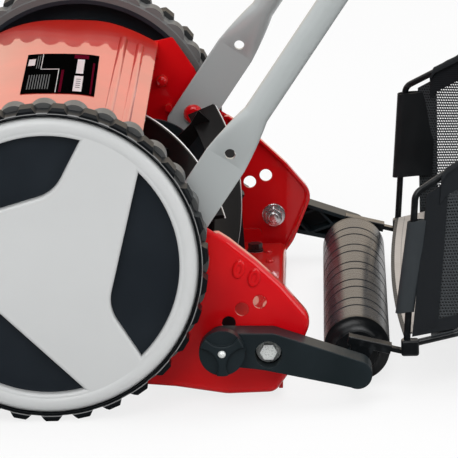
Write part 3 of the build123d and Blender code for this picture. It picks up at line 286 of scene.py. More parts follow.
# %% The lamps
def soft_lamp(name, location, size, power):
    """A square area lamp that looks at the mower."""
    bpy.ops.object.light_add(type="AREA", location=location)
    lamp = bpy.context.object
    lamp.name = name
    lamp.data.size = size
    lamp.data.energy = power
    lamp.rotation_euler = (Vector(LAMP_AIM) - Vector(location)).to_track_quat("-Z", "Y").to_euler()


LAMP_AIM = (0.0, 0.0, 0.2)
soft_lamp("key", (-0.9, -2.7, 2.3), 2.2, 58)
soft_lamp("top", (0.3, 0.7, 3.2), 2.6, 46)
soft_lamp("fill", (2.2, -1.9, 1.3), 1.6, 22)
bpy.context.scene.view_settings.view_transform = "Standard"
print("lamps: key, top and fill")

# %% The floor
bpy.ops.object.select_all(action="DESELECT")
bpy.ops.mesh.primitive_plane_add(size=24.0, location=(0, 0, 0))
floor = bpy.context.object
floor.name = "floor"
sweep = Finish("floor_white", Roughness=0.9)
tree = sweep.tree
glow = tree.nodes.new("ShaderNodeEmission")
glow.inputs["Color"].default_value = rgb(1.0, 1.0, 1.0)
mixed = tree.nodes.new("ShaderNodeMixShader")
seen_by_camera = sweep.ray("Is Camera Ray")
mirrored = sweep.ray("Is Glossy Ray")
in_front = (-1.0 * sweep.axes(sweep.where())[1]).ramp(0.19, 0.27)
sweep.colour(sweep.blend(mirrored * in_front, rgb(0.86, 0.86, 0.86), rgb(0.03, 0.03, 0.03)))
sweep.feed(mixed.inputs["Fac"], 0.8 * seen_by_camera)
tree.links.new(sweep.shader.outputs["BSDF"], mixed.inputs[1])
tree.links.new(glow.outputs["Emission"], mixed.inputs[2])
tree.links.new(mixed.outputs["Shader"], tree.nodes["Material Output"].inputs["Surface"])
floor.data.materials.append(sweep.material)
print("floor:", floor.dimensions.x, "m across")

# %% [markdown]
# ## Painted metal
# The side plates and the cover are pressed steel in a glossy red powder coat. Such a coat is thick, so it
# flows into a faint orange peel and darkens in the folds. A clear coat over the colour gives the sharp
# white reflections, and the colour below stays a little rough.

# %% Red powder coat
red_coat = Finish("red_coat", Roughness=0.3, Specular_IOR_Level=0.1, Coat_Weight=1.0, Coat_IOR=1.4,
                  Coat_Roughness=0.03, Sheen_Weight=0.14, Sheen_Roughness=0.35,
                  Sheen_Tint=rgb(1.0, 0.45, 0.22))
depth = red_coat.mottle(14.0, 2.0)
red_coat.colour(red_coat.blend(depth.ramp(0.35, 0.7), rgb(0.56, 0.0010, 0.005), rgb(0.68, 0.005, 0.007)))
peel = red_coat.mottle(420.0, 1.0)
red_coat.bump(peel, 0.10, 0.0002, 0.0012)

# %% Black gloss on the reel, bright where the blades are ground
reel_coat = Finish("reel_gloss", Specular_IOR_Level=0.03, Coat_Weight=0.05, Coat_Roughness=0.1,
                   Coat_IOR=1.3)
across = reel_coat.axes(reel_coat.moved(reel_coat.where(), location=-reel_axis))
radius = (across[0] * across[0] + across[2] * across[2]).root()
angle = across[2].sum("ARCTAN2", across[2], across[0])
BLADES = 4
BLADE_PHASE = radians(80.4)
BLADE_TWIST = radians(346.0)
LAND_RADIUS = 0.0741
LAND_WIDTH = 0.012
lead = (angle - BLADE_PHASE - BLADE_TWIST * across[1]).part_of(tau / BLADES)
ground = (radius > LAND_RADIUS) * (lead < LAND_WIDTH)
scratch = reel_coat.mottle(900.0, 2.0)
steel = reel_coat.blend(scratch, rgb(0.62, 0.62, 0.63), rgb(0.84, 0.84, 0.85))
haze = reel_coat.mottle(30.0, 3.0)
black = reel_coat.blend(haze, rgb(0.002, 0.002, 0.002), rgb(0.007, 0.006, 0.006))
reel_coat.colour(reel_coat.blend(ground, black, steel))
reel_coat.feed(reel_coat.shader.inputs["Metallic"], 0.4 * ground)
reel_coat.roughness(0.3 + 0.12 * ground + 0.1 * haze)
reel_coat.bump(scratch, 0.05, 0.0002)
print("paints: red coat and reel gloss")

# %% [markdown]
# The handle tubes are painted silver-grey. The paint holds fine metal flakes, so it is partly metallic and
# slightly mottled, with a soft satin sheen instead of a mirror.

# %% Silver tube paint
silver = Finish("tube_silver", Metallic=0.25, Roughness=0.36, Coat_Weight=0.3, Coat_Roughness=0.15)
flakes = silver.mottle(1600.0, 1.0)
cloud = silver.mottle(9.0, 2.0)
flaked = silver.blend(cloud, rgb(0.41, 0.445, 0.445), rgb(0.48, 0.51, 0.51))
silver.colour(silver.blend(0.12 * flakes, flaked, rgb(0.60, 0.62, 0.62)))

# %% Black wire paint of the catcher frame
wire_paint = Finish("wire_black", Specular_IOR_Level=0.25, Coat_Weight=0.3, Coat_Roughness=0.08,
                    Coat_IOR=1.35)
chips = wire_paint.mottle(160.0, 3.0)
chipped = chips.ramp(0.5, 0.75)
wire_paint.colour(wire_paint.blend(chipped, rgb(0.004, 0.005, 0.006), rgb(0.016, 0.018, 0.020)))
wire_paint.roughness(0.26 + 0.1 * chips)
print("paints: silver tube and black wire")

# %% [markdown]
# ## Mouldings
# Black plastic parts are rarely pure black. The fork of the knob, the arms and the clips are glass-filled
# nylon with a fine spark-eroded grain, which scatters light and leaves a blue-grey cast. The wheel is
# smoother. One slow noise stands for rubbing, and drives both colour and roughness.


# %% Black mouldings
def moulding(name, dark, light, shine, grain, height, level):
    """Black plastic with a spark-eroded grain."""
    made = Finish(name, Specular_IOR_Level=level)
    skin = made.mottle(grain, 2.0, 0.6)
    rubbed = made.mottle(22.0, 4.0)
    made.colour(made.blend(rubbed.ramp(0.3, 0.75), dark, light))
    made.roughness(shine + 0.14 * rubbed)
    made.bump(skin, height, 0.0003, 0.0010)
    return made


nylon = moulding("black_nylon", rgb(0.008, 0.0135, 0.016), rgb(0.013, 0.020, 0.024),
                 0.34, 1400.0, 0.12, 0.2)
wheel_black = moulding("wheel_black", rgb(0.009, 0.013, 0.018), rgb(0.012, 0.017, 0.023),
                       0.30, 900.0, 0.05, 0.28)
cap_black = moulding("roller_cap_black", rgb(0.003, 0.004, 0.005), rgb(0.006, 0.007, 0.008),
                     0.26, 300.0, 0.02, 0.3)

# %% Pale wheel trim
trim = Finish("wheel_trim", Coat_Weight=0.15, Coat_Roughness=0.2)
clouds = trim.mottle(12.0, 3.0)
speck = trim.mottle(1100.0, 1.0)
trim.colour(trim.blend(clouds, rgb(0.48, 0.49, 0.49), rgb(0.54, 0.55, 0.55)))
trim.roughness(0.34 + 0.08 * clouds)
trim.bump(speck, 0.05, 0.0002, 0.0012)
print("mouldings: nylon, wheel, roller cap and trim")

# %% [markdown]
# The roller is a dull black plastic. Rolling over grass has brushed it along its turning direction, so its
# streaks are stretched the long way round and its shine is broken up. The grooves are painted near black:
# partly the dirt that settles in them, partly painted shade of their depth.

# %% Roller barrel
barrel = Finish("roller_barrel", Specular_IOR_Level=0.42)
along = barrel.axes(barrel.moved(barrel.where(), location=-roller_axis))
PAIR_PERIOD = 0.056
PAIR_HALF = 0.011
in_pair = ((along[1] / PAIR_PERIOD + 0.5).part_of(1.0) - 0.5).absolute() * PAIR_PERIOD
# Near black along each groove: dirt, and painted shade of the groove's depth.
groove_dirt_and_shade = 1.0 - (in_pair - PAIR_HALF).absolute().ramp(0.0012, 0.0016)
streaks = barrel.mottle(60.0, 4.0, 0.6, barrel.moved(barrel.where(), scale=(1, 30, 1)))
brushed = barrel.blend(streaks, rgb(0.014, 0.017, 0.022), rgb(0.040, 0.046, 0.054))
barrel.colour(barrel.blend(groove_dirt_and_shade, brushed, rgb(0.002, 0.002, 0.002)))
barrel.roughness(0.20 + 0.16 * streaks + 0.4 * groove_dirt_and_shade)
barrel.bump(streaks, 0.08, 0.0003)

# %% Tyre rubber
rubber = Finish("tyre_rubber", Specular_IOR_Level=0.15)
turned = rubber.axes(rubber.moved(rubber.where(), location=-axle))
reach = (turned[0] * turned[0] + turned[2] * turned[2]).root()
# Mask of the outermost tread surface, which gets a painted highlight below.
tread_top_painted_highlight = reach.ramp(axle.z - 0.0012, axle.z - 0.0002)
grit = rubber.mottle(650.0, 3.0, 0.7)
dust = rubber.mottle(16.0, 4.0)
# The inner row of lugs is painted lighter grey than the outer row: painted reflection of the pale backdrop on
# their tops.
inner_row = 1.0 - turned[1].absolute().ramp(0.2335, 0.2365)
outer_row_rubber = rubber.blend(dust, rgb(0.0020, 0.0030, 0.0042), rgb(0.005, 0.0065, 0.008))
inner_row_painted_reflection = rubber.blend(dust, rgb(0.085, 0.087, 0.087), rgb(0.17, 0.172, 0.17))
rubber_with_painted_light = rubber.blend(inner_row, outer_row_rubber, inner_row_painted_reflection)
# A thin pale ring on the sidewall below the lugs: a painted highlight on the bead's rounded edge.
bead_painted_highlight = band(reach, 0.1105, 0.1112) * (turned[1].absolute() > 0.2395)
rubber_with_painted_light = rubber.blend(0.6 * bead_painted_highlight, rubber_with_painted_light, rgb(0.30, 0.30, 0.30))
# The tops of the inner row's tread are painted a lighter grey: a painted highlight.
rubber.colour(rubber.blend(tread_top_painted_highlight * inner_row * (0.3 + 0.4 * dust), rubber_with_painted_light, rgb(0.085, 0.086, 0.085)))
rubber.roughness(0.34 + 0.2 * dust)
rubber.bump(grit, 0.16, 0.0004, 0.0003)
print("roller barrel and tyre rubber")

# %% [markdown]
# ## Bare metals
# Bolts and axles are zinc plated: a thin bluish-silver skin that is bright where it is smooth and milky
# where it was tumbled. The bed knife and pinions are plain ground steel, and the bushes are bronze.


# %% Zinc, ground steel and bronze
def metal(name, dark, light, rough, shine=1.0, stretch=(1, 1, 1)):
    """A bare metal with a fine directional grain. Milky plating is less metallic than bare steel."""
    made = Finish(name, Metallic=shine)
    grain = made.mottle(700.0, 3.0, 0.6, made.moved(made.where(), scale=stretch))
    bloom = made.mottle(90.0, 3.0)
    made.colour(made.blend(bloom, dark, light))
    made.roughness(rough + 0.16 * grain)
    made.bump(grain, 0.05, 0.0002, 0.0005)
    return made


zinc = metal("zinc_plate", rgb(0.74, 0.77, 0.75), rgb(0.90, 0.93, 0.91), 0.2, 0.3)
bright_nut = metal("bright_nut", rgb(0.66, 0.66, 0.67), rgb(0.84, 0.84, 0.85), 0.10, 0.92)
ground_steel = metal("ground_steel", rgb(0.38, 0.38, 0.38), rgb(0.55, 0.55, 0.54), 0.26, 0.8, (12, 1, 1))
bronze = metal("bush_bronze", rgb(0.40, 0.25, 0.10), rgb(0.62, 0.42, 0.20), 0.28)

# %% Floor sheet of the catcher
stiff_sheet = Finish("floor_sheet", Coat_Weight=0.1, Coat_Roughness=0.4)
sheet_place = stiff_sheet.axes(stiff_sheet.where())
ribs = (sheet_place[1] * (tau / 0.006)).wave()
stain = stiff_sheet.mottle(24.0, 4.0)
sheet_low, sheet_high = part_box("catcher_floor")
BOW = 0.006
across_sheet = sheet_place[1] / sheet_high.y
from_lip = sheet_place[0] - sheet_low.x - BOW * across_sheet * across_sheet
bound_edge = from_lip < 0.0028
# A thin line 7.5 to 8.2 mm behind the lip is darkened half way to brown-black: painted shade along a crease.
crease_painted_shade = band(from_lip, 0.0075, 0.0082)
greige = stiff_sheet.blend(stain, rgb(0.42, 0.38, 0.345), rgb(0.56, 0.52, 0.48))
greige = stiff_sheet.blend(0.5 * crease_painted_shade, greige, rgb(0.08, 0.07, 0.06))
stiff_sheet.colour(stiff_sheet.blend(bound_edge, greige, rgb(0.006, 0.006, 0.006)))
stiff_sheet.roughness(0.52 + 0.12 * stain)
stiff_sheet.bump(ribs, 0.25, 0.0003)
print("metals and the floor sheet")

# %% [markdown]
# ## Finishes on the frame's own pieces
# A CAD node keeps its mesh and only changes its material. The list below goes by what each piece is made of
# on the real mower, which is also how its slots are named in the record.

# %% Hand the finishes out
FINISH_OF_SLOT = {
    "red_paint": red_coat, "reel_black": reel_coat, "black_plastic": nylon, "wheel_black": wheel_black,
    "cap_grey": trim, "tyre": rubber, "zinc": zinc, "hard_steel": ground_steel, "bronze": bronze,
    "tube_silver": silver, "roller_plastic": barrel, "roller_cap": cap_black, "wire_black": wire_paint,
    "floor_sheet": stiff_sheet,
}
bolt_finish = Finish("adjuster_bolt")
WASHER_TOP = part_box("adjuster_bolts")[0].z + 0.0071
above_washer = bolt_finish.axes(bolt_finish.where())[2] > WASHER_TOP
bolt_finish.colour(bolt_finish.blend(above_washer, rgb(0.86, 0.88, 0.87), rgb(0.010, 0.010, 0.011)))
bolt_finish.roughness(0.24 + 0.1 * bolt_finish.mottle(400.0, 3.0))
OTHER_FINISHES = {"catcher_elbows": wire_paint, "catcher_clips": wire_paint, "adjuster_bolts": bolt_finish}
for part in frame["record"]["subparts"]:
    name = part["node"]
    finish = OTHER_FINISHES.get(name) or FINISH_OF_SLOT.get(part["material_slot"])
    if finish:
        nodes[name].data.materials.clear()
        nodes[name].data.materials.append(finish.material)

# %% Smooth shading with kept edges
bpy.ops.object.select_all(action="DESELECT")
for part in nodes.values():
    part.select_set(True)
bpy.context.view_layer.objects.active = nodes["tyre_right"]
bpy.ops.object.shade_smooth_by_angle(angle=radians(30))
bpy.ops.object.select_all(action="DESELECT")

# %% [markdown]
# ## Flange nuts
# The height arms' bolts end in flange nuts inside the side plates, and the axle stubs in plain hexagon
# nuts. A flange nut is a hexagon on a thin round flange, with the end of the bolt standing out of it, and
# all their edges catch the light. Each is a cylinder of six or more sides with its edges bevelled.


# %% Turned pieces along Y
def turned_block(name, centre, start, end, radius, sides, edge):
    """A cylinder or prism along Y with bevelled edges."""
    bpy.ops.object.select_all(action="DESELECT")
    bpy.ops.mesh.primitive_cylinder_add(vertices=sides, radius=radius, depth=abs(end - start))
    made = bpy.context.object
    made.name = name
    made.data.name = name
    made.rotation_euler = (pi / 2, 0, 0)
    made.location = (centre.x, (start + end) / 2, centre.z)
    bpy.ops.object.transform_apply(location=True, rotation=True, scale=True)
    rounding = made.modifiers.new("rounding", "BEVEL")
    rounding.width = edge
    rounding.segments = 3
    rounding.limit_method = "ANGLE"
    rounding.angle_limit = radians(40)
    bpy.ops.object.modifier_apply(modifier="rounding")
    bpy.ops.object.shade_smooth_by_angle(angle=radians(30))
    made.data.materials.append(bright_nut.material)
    return made


def join(pieces, name):
    """One object from several, at the origin."""
    bpy.ops.object.select_all(action="DESELECT")
    for piece in pieces:
        piece.select_set(True)
    bpy.context.view_layer.objects.active = pieces[0]
    bpy.ops.object.join()
    bpy.context.object.name = name
    bpy.context.object.data.name = name
    return bpy.context.object


# %% The four nuts
NUT_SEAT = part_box("plate_nuts")[1].y
FLANGE = 0.0016
PIVOT_NUT = 0.0080
STUD_END = 0.0113
AXLE_NUT = 0.0065
NUT_PARTS = (
    ("flange", pivot, 0.0, FLANGE, 0.0094, 48, 0.0005),
    ("hexagon", pivot, FLANGE, PIVOT_NUT, 0.0074, 6, 0.0008),
    ("stud", pivot, PIVOT_NUT, STUD_END, 0.0041, 32, 0.0010),
    ("axle_nut", axle, 0.0, AXLE_NUT, 0.0098, 6, 0.0008),
)
nuts = []
for side in (-1, 1):
    for name, centre, near, far, nut_radius, sides, edge in NUT_PARTS:
        start, end = side * (NUT_SEAT - near), side * (NUT_SEAT - far)
        nuts.append(turned_block(name, centre, start, end, nut_radius, sides, edge))
nuts = join(nuts, "flange_nuts")
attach(nuts, "frame")
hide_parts("plate_nuts")
print("nuts:", len(nuts.data.polygons), "faces")

# %% [markdown]
# ## The roller's barrel
# The barrel is a long tube with pairs of turned grooves, which read as heavy black lines: dirt packs in
# them, and their colour is darkened further as painted shade. Here it is made as a turned part: an open
# cylinder is cut into rings with bisect, the rings that fall in a groove are drawn in to its floor, and a
# Solidify modifier gives the wall.

# %% Turned barrel
drum_low, drum_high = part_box("roller_drum")
DRUM_RADIUS = (drum_high.x - drum_low.x) / 2
DRUM_HALF = drum_high.y
GROOVE_EDGES = (-0.0017, -0.0013, 0.0013, 0.0017)
GROOVE_DEPTH = 0.0022
GROOVE_FLOOR = 0.0015
BARREL_WALL = 0.0016
groove_places = [pair * PAIR_PERIOD + side * PAIR_HALF for pair in (-2, -1, 0, 1, 2) for side in (-1, 1)]
bpy.ops.object.select_all(action="DESELECT")
bpy.ops.mesh.primitive_cylinder_add(vertices=96, radius=1.0, depth=2.0, end_fill_type="NOTHING")
drum = bpy.context.object
drum.name = "roller_barrel"
drum.data.name = "roller_barrel"
bpy.ops.object.mode_set(mode="EDIT")
cuts = sorted(centre + edge for centre in groove_places for edge in GROOVE_EDGES)
for cut_y in cuts:
    bpy.ops.mesh.select_all(action="SELECT")
    bpy.ops.mesh.bisect(plane_co=(0, 0, cut_y / DRUM_HALF), plane_no=(0, 0, 1))
bpy.ops.object.mode_set(mode="OBJECT")
for vertex in drum.data.vertices:
    y = vertex.co.z * DRUM_HALF
    near_groove = min(abs(y - centre) for centre in groove_places)
    reach_out = DRUM_RADIUS - (GROOVE_DEPTH if near_groove < GROOVE_FLOOR else 0.0)
    turn = atan2(vertex.co.y, vertex.co.x)
    vertex.co = Vector((roller_axis.x + reach_out * cos(turn), y, roller_axis.z + reach_out * sin(turn)))
bpy.ops.object.mode_set(mode="EDIT")
bpy.ops.mesh.select_all(action="SELECT")
bpy.ops.mesh.normals_make_consistent(inside=False)
bpy.ops.object.mode_set(mode="OBJECT")
drum.data.materials.append(barrel.material)
wall = drum.modifiers.new("wall", "SOLIDIFY")
wall.thickness = BARREL_WALL
wall.offset = -1.0
bpy.ops.object.modifier_apply(modifier="wall")
bpy.ops.object.shade_smooth_by_angle(angle=radians(30))
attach(drum, "roller")
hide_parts("roller_drum")
print("barrel:", len(drum.data.polygons), "faces,", len(groove_places), "grooves")

# %% [markdown]
# ## The grass bag
# The bag is a trough of black polyester net, sewn to webbing along its edges and hung on two wire frames.
# Sewn net never lies flat: it bellies out between its edges and pulls into the corners. So each panel is a
# grid between the rim and the floor, pushed off the flat by a smooth bulge that fades out at every seam.

# %% The bag's rim and floor
bag_low, bag_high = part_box("catcher_bag")
FRONT = bag_low.x
LENGTH = bag_high.x - bag_low.x
FLOOR_FRONT = bag_low.z
FLOOR_RISE = 0.2235
FLOOR_REAR = FLOOR_FRONT + FLOOR_RISE * LENGTH
KNEE = 0.48
RIM_LINE = ((0.0, 0.188, 0.147), (KNEE, 0.131, 0.2375), (1.0, 0.114, bag_high.z))
FOOT_HALF = 0.1925


def rim_at(share):
    """Half width and height of the bag's rim at a share of its length."""
    first, second = (RIM_LINE[0], RIM_LINE[1]) if share < KNEE else (RIM_LINE[1], RIM_LINE[2])
    part = (share - first[0]) / (second[0] - first[0])
    return first[1] + (second[1] - first[1]) * part, first[2] + (second[2] - first[2]) * part


def floor_at(share):
    """Height of the bag's floor at a share of its length."""
    return FLOOR_FRONT + (FLOOR_REAR - FLOOR_FRONT) * share


def belly(first, second):
    """A bulge that is 1 in the middle of a panel and 0 along all its seams."""
    return max(0.0, sin(pi * first)) ** 0.7 * max(0.0, sin(pi * second)) ** 0.8


print("bag", round(LENGTH, 3), "m long")

# %% [markdown]
# One function gives the place of a point on the side panel, and both the net and the webbing sewn on it use
# that function, so a tape can never float off the net. It also takes a distance off the panel.

# %% Points on the bag's panels
SIDE_SAG = 0.0065


def side_point(share, height, off=0.0):
    """A point on the right side panel: share of the length, share of the height, distance off it."""
    rim_half, rim_z = rim_at(share)
    floor_z = floor_at(share)
    y = FOOT_HALF + (rim_half - FOOT_HALF) * height
    z = floor_z + (rim_z - floor_z) * height
    slope = atan2(FOOT_HALF - rim_half, rim_z - floor_z)
    ripple = noise.noise(Vector((share * 9.0, height * 3.0, 4.0))) * 0.5
    out = (SIDE_SAG + 0.004 * ripple) * belly(share, height) + off
    return Vector((FRONT + LENGTH * share, y + out * cos(slope), z + out * sin(slope)))


def floor_point(share, across_share, off=0.0):
    """A point on the floor panel: share of the length, and -1 to 1 across."""
    ripple = noise.noise(Vector((share * 7.0, across_share * 4.0, 9.0)))
    sag = 0.003 * belly(share, (across_share + 1) / 2) * (1 + ripple)
    return Vector((FRONT + LENGTH * share, FOOT_HALF * across_share, floor_at(share) - sag - off))


def rear_point(across_share, height, off=0.0):
    """A point on the rear panel: -1 to 1 across, and share of the height."""
    rim_half, rim_z = rim_at(1.0)
    half = FOOT_HALF + (rim_half - FOOT_HALF) * height
    out = 0.002 * belly((across_share + 1) / 2, height) + off
    return Vector((bag_high.x + out, half * across_share, FLOOR_REAR + (rim_z - FLOOR_REAR) * height))


# %% [markdown]
# Each panel starts as Blender's own grid, whose rows and columns are then laid along the panel. The grid's
# corners run from -1 to 1, so they are read as shares. Its UV map is rewritten in metres along the cloth,
# because the holes of a net keep their size however the panel is cut.


# %% A sewn panel from a grid
def panel(name, columns, rows, point, cut, finish, thickness):
    """A grid laid along point(first share, second share), with UVs from cut(same shares) in metres."""
    bpy.ops.object.select_all(action="DESELECT")
    bpy.ops.mesh.primitive_grid_add(x_subdivisions=columns, y_subdivisions=rows, size=2.0)
    cloth = bpy.context.object
    cloth.name = name
    cloth.data.name = name
    shares = [((v.co.x + 1) / 2, (v.co.y + 1) / 2) for v in cloth.data.vertices]
    for corner, uv in zip(cloth.data.loops, cloth.data.uv_layers[0].data):
        uv.uv = cut(*shares[corner.vertex_index])
    for vertex, share in zip(cloth.data.vertices, shares):
        vertex.co = point(*share)
    cloth.data.materials.append(finish.material)
    solidify = cloth.modifiers.new("thickness", "SOLIDIFY")
    solidify.thickness = thickness
    solidify.offset = 0.0
    bpy.ops.object.modifier_apply(modifier="thickness")
    bpy.ops.object.shade_smooth_by_angle(angle=radians(50))
    return cloth


def other_side(point):
    """The same panel point on the mower's left side, whose front edge is pulled forward to its sleeve."""
    def place_left(first, second):
        spot = point(first, second)
        share = max(0.0, (spot.x - FRONT) / LENGTH)
        height = (spot.z - FLOOR_FRONT) / (rim_at(0.0)[1] - FLOOR_FRONT)
        pull = max(0.0, 0.014 - 0.0123 * height) * max(0.0, 1 - share) ** 6
        return Vector((spot.x - pull, -spot.y, spot.z))
    return place_left


# %% [markdown]
# ### Net and webbing
# The net is a knitted mesh: rows of slanted holes between zigzag threads. Real holes matter more than a
# grey average, because they let the backdrop and the far panel show through. The holes are cut with Alpha
# from the cloth's own UV map, in cells of 1.9 by 2.2 mm, every second row shifted by half a cell.

# %% Net with real holes
CELL_WIDE = 0.0019
CELL_HIGH = 0.0022
net = Finish("bag_net", Roughness=0.55, Specular_IOR_Level=0.3)
cloth_u, cloth_v, _ = net.axes(net.where("UV"))
row = cloth_v / CELL_HIGH
row_number = row.sum("FLOOR", row)
shifted = cloth_u / CELL_WIDE + 0.5 * row_number.sum("MODULO", row_number, 2.0)
in_row = row.sum("FRACT", row) - 0.5
in_cell = shifted.sum("FRACT", shifted + 0.35 * in_row) - 0.5
hole = (in_cell * in_cell / 0.125 + in_row * in_row / 0.085) < 1.0
fuzz = net.mottle(1200.0, 2.0)
net.colour(net.blend(fuzz, rgb(0.016, 0.019, 0.021), rgb(0.060, 0.068, 0.074)))
net.feed(net.shader.inputs["Alpha"], 1.0 - hole)
net.bump(fuzz, 0.3, 0.0003)

# %% Webbing and sleeves
webbing = Finish("webbing", Roughness=0.7, Specular_IOR_Level=0.15)
tape_u, tape_v, _ = webbing.axes(webbing.where("UV"))
twill = ((tape_u + tape_v) * (tau / 0.0011)).wave() * ((tape_u - tape_v) * (tau / 0.0016)).wave()
lint = webbing.mottle(700.0, 2.0)
webbing.colour(webbing.blend(0.5 + 0.5 * twill, rgb(0.004, 0.005, 0.006), rgb(0.018, 0.021, 0.025)))
webbing.bump(twill + lint, 0.35, 0.0003)

slate = Finish("sleeve_slate", Specular_IOR_Level=0.35)
weave = slate.mottle(1300.0, 2.0)
worn_cloth = slate.mottle(35.0, 3.0)
slate.colour(slate.blend(worn_cloth, rgb(0.016, 0.021, 0.025), rgb(0.034, 0.041, 0.046)))
slate.roughness(0.46 + 0.15 * worn_cloth)
slate.bump(weave, 0.2, 0.0003)
# The far sleeve is given a darker, black copy of the sleeve cloth: painted shade of the bag's inside.
far_sleeve_shaded_cloth = Finish("sleeve_painted_shade", Specular_IOR_Level=0.3)
faded = far_sleeve_shaded_cloth.mottle(40.0, 3.0)
far_sleeve_shaded_cloth.colour(far_sleeve_shaded_cloth.blend(faded, rgb(0.003, 0.004, 0.005), rgb(0.010, 0.012, 0.014)))
far_sleeve_shaded_cloth.roughness(0.38 + 0.2 * faded)
far_sleeve_shaded_cloth.bump(far_sleeve_shaded_cloth.mottle(1300.0, 2.0), 0.2, 0.0003)
thread = Finish("thread", Roughness=0.6)
twist = thread.mottle(2500.0, 1.0)
thread.colour(thread.blend(twist, rgb(0.03, 0.035, 0.04), rgb(0.10, 0.11, 0.12)))
print("cloth finishes: net, webbing, sleeve and thread")


# %% The net itself
def side_cut(first, second):
    spot = side_point(first, second)
    return (spot.x, spot.z)


NET_THICKNESS = 0.0007
net_panels = [
    panel("net_right", 90, 34, side_point, side_cut, net, NET_THICKNESS),
    panel("net_left", 90, 34, other_side(side_point), side_cut, net, NET_THICKNESS),
    panel("net_floor", 70, 50, lambda a, b: floor_point(a, 2 * b - 1),
          lambda a, b: (a * LENGTH, 2 * FOOT_HALF * b), net, NET_THICKNESS),
    panel("net_rear", 60, 30, lambda a, b: rear_point(2 * a - 1, b),
          lambda a, b: (2 * FOOT_HALF * a, (rim_at(1.0)[1] - FLOOR_REAR) * b), net, NET_THICKNESS),
]
bag = join(net_panels, "bag_net")
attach(bag, "catcher")
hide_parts("catcher_bag")
print("bag net:", len(bag.data.polygons), "faces")

# %% [markdown]
# A black woven lining lies over the stiff floor sheet, and only the sheet's front lip shows. Seen through
# the near side, this lining is what makes the net read black.

# %% Floor lining
lining_cloth = Finish("lining_cloth", Roughness=0.8, Specular_IOR_Level=0.05)
lining_weave = lining_cloth.mottle(1500.0, 2.0)
lining_cloth.colour(lining_cloth.blend(lining_weave, rgb(0.002, 0.002, 0.003), rgb(0.006, 0.007, 0.008)))
lining_cloth.bump(lining_weave, 0.3, 0.0003)
LINING_LIFT = 0.0054
LINING_HALF = 0.1885


def lining_point(first, second):
    """A point of the lining, which lies flat on the stiff sheet."""
    share = 0.012 + 0.975 * first
    wrinkle = 0.0004 * noise.noise(Vector((share * 8.0, second * 6.0, 3.0)))
    z = floor_at(share) + LINING_LIFT + wrinkle
    return Vector((FRONT + LENGTH * share, LINING_HALF * (2 * second - 1), z))


lining = panel("bag_lining", 60, 30, lining_point,
               lambda a, b: (a * LENGTH, 2 * FOOT_HALF * b), lining_cloth, 0.0008)
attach(lining, "catcher")
print("lining:", len(lining.data.polygons), "faces")

# %% [markdown]
# Webbing is folded over the edges of the net and sewn through. It is modelled as flat strips that follow
# the panels a little proud of them: up both front edges, along the floor seams, across the front sill and
# up the rear corners.

# %% Webbing strips
TAPE = 0.0012
TAPE_OFF = 0.0009


def strip_cut(first, second):
    return (first * LENGTH, second * 0.02)


def both_sides(name, columns, rows, point):
    """The same strip on both sides of the bag."""
    return [
        panel(name + "_right", columns, rows, point, strip_cut, webbing, TAPE),
        panel(name + "_left", columns, rows, other_side(point), strip_cut, webbing, TAPE),
    ]


front_strip = both_sides("front", 6, 40, lambda a, b: side_point(a * 0.046, b, TAPE_OFF))
foot_strip = both_sides("foot", 80, 4, lambda a, b: side_point(a, b * 0.085, TAPE_OFF))
corner_strip = both_sides("corner", 6, 30, lambda a, b: side_point(0.955 + a * 0.045, b, TAPE_OFF))
sill_strip = [panel("sill", 6, 60, lambda a, b: floor_point(a * 0.05, 2 * b - 1, TAPE_OFF), strip_cut,
                    webbing, TAPE)]
tapes = join(front_strip + foot_strip + corner_strip + sill_strip, "bag_webbing")
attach(tapes, "catcher")
print("webbing:", len(tapes.data.polygons), "faces")

# %% [markdown]
# ### The hem over the top wire
# The rim of the bag is folded over the top wire and stitched below it, so it reads as a soft tube with a
# flat skirt. Its cross-section is a drop: an arc over the wire, then two layers that hang below it. It
# starts a little behind the front corner, where the bare wire shows.

# %% The hem
HEM_RADIUS = 0.0042
HEM_SKIRT = 0.016


def rim_wire(share):
    """Centre of the top wire beside the bag's rim at a share of the bag's length."""
    rim_half, rim_z = rim_at(share)
    lift = 0.0055 if share > 0.04 else 0.002
    return Vector((FRONT + LENGTH * share, rim_half - 0.001, rim_z + lift))


def hem_point(start, end):
    """The hem's surface between two shares of the length, as a point function."""
    def point(along_share, around):
        share = start + (end - start) * along_share
        centre = rim_wire(share)
        rim_half, rim_z = rim_at(share)
        slope = atan2(FOOT_HALF - rim_half, rim_z - floor_at(share))
        down = Vector((0, sin(slope), -cos(slope)))
        out = Vector((0, cos(slope), sin(slope)))
        wrinkle = 0.0006 * noise.noise(Vector((share * 60.0, around * 3.0, 2.0)))
        if around < 0.3:
            return centre + down * HEM_SKIRT * (1 - around / 0.3) + out * (-0.0016 + wrinkle)
        if around > 0.7:
            return centre + down * HEM_SKIRT * (around - 0.7) / 0.3 + out * (0.0032 + wrinkle)
        turn = pi * (around - 0.3) / 0.4
        radius_now = HEM_RADIUS + wrinkle
        return centre - out * radius_now * cos(turn) - down * radius_now * sin(turn) + out * 0.0004
    return point


hem = join(both_sides("hem", 90, 18, hem_point(0.03, 1.0)), "bag_hem")
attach(hem, "catcher")
print("hem:", len(hem.data.polygons), "faces")

# %% [markdown]
# ### Sleeves on the front uprights
# A flat loop of cloth wraps each upright and is sewn to the net's front edge. Seen from the side it is a
# band: rounded where it goes round the wire, flat behind it. The two sleeves have slipped to different
# heights, as soft loops do.

# %% Sleeve shapes
UPRIGHT_FOOT = Vector((FRONT - 0.018, 0.190, 0.035))
UPRIGHT_HEAD = Vector((FRONT - 0.010, 0.190, 0.148))
LOOP_HALF = 0.0040
NOSE = 0.0045


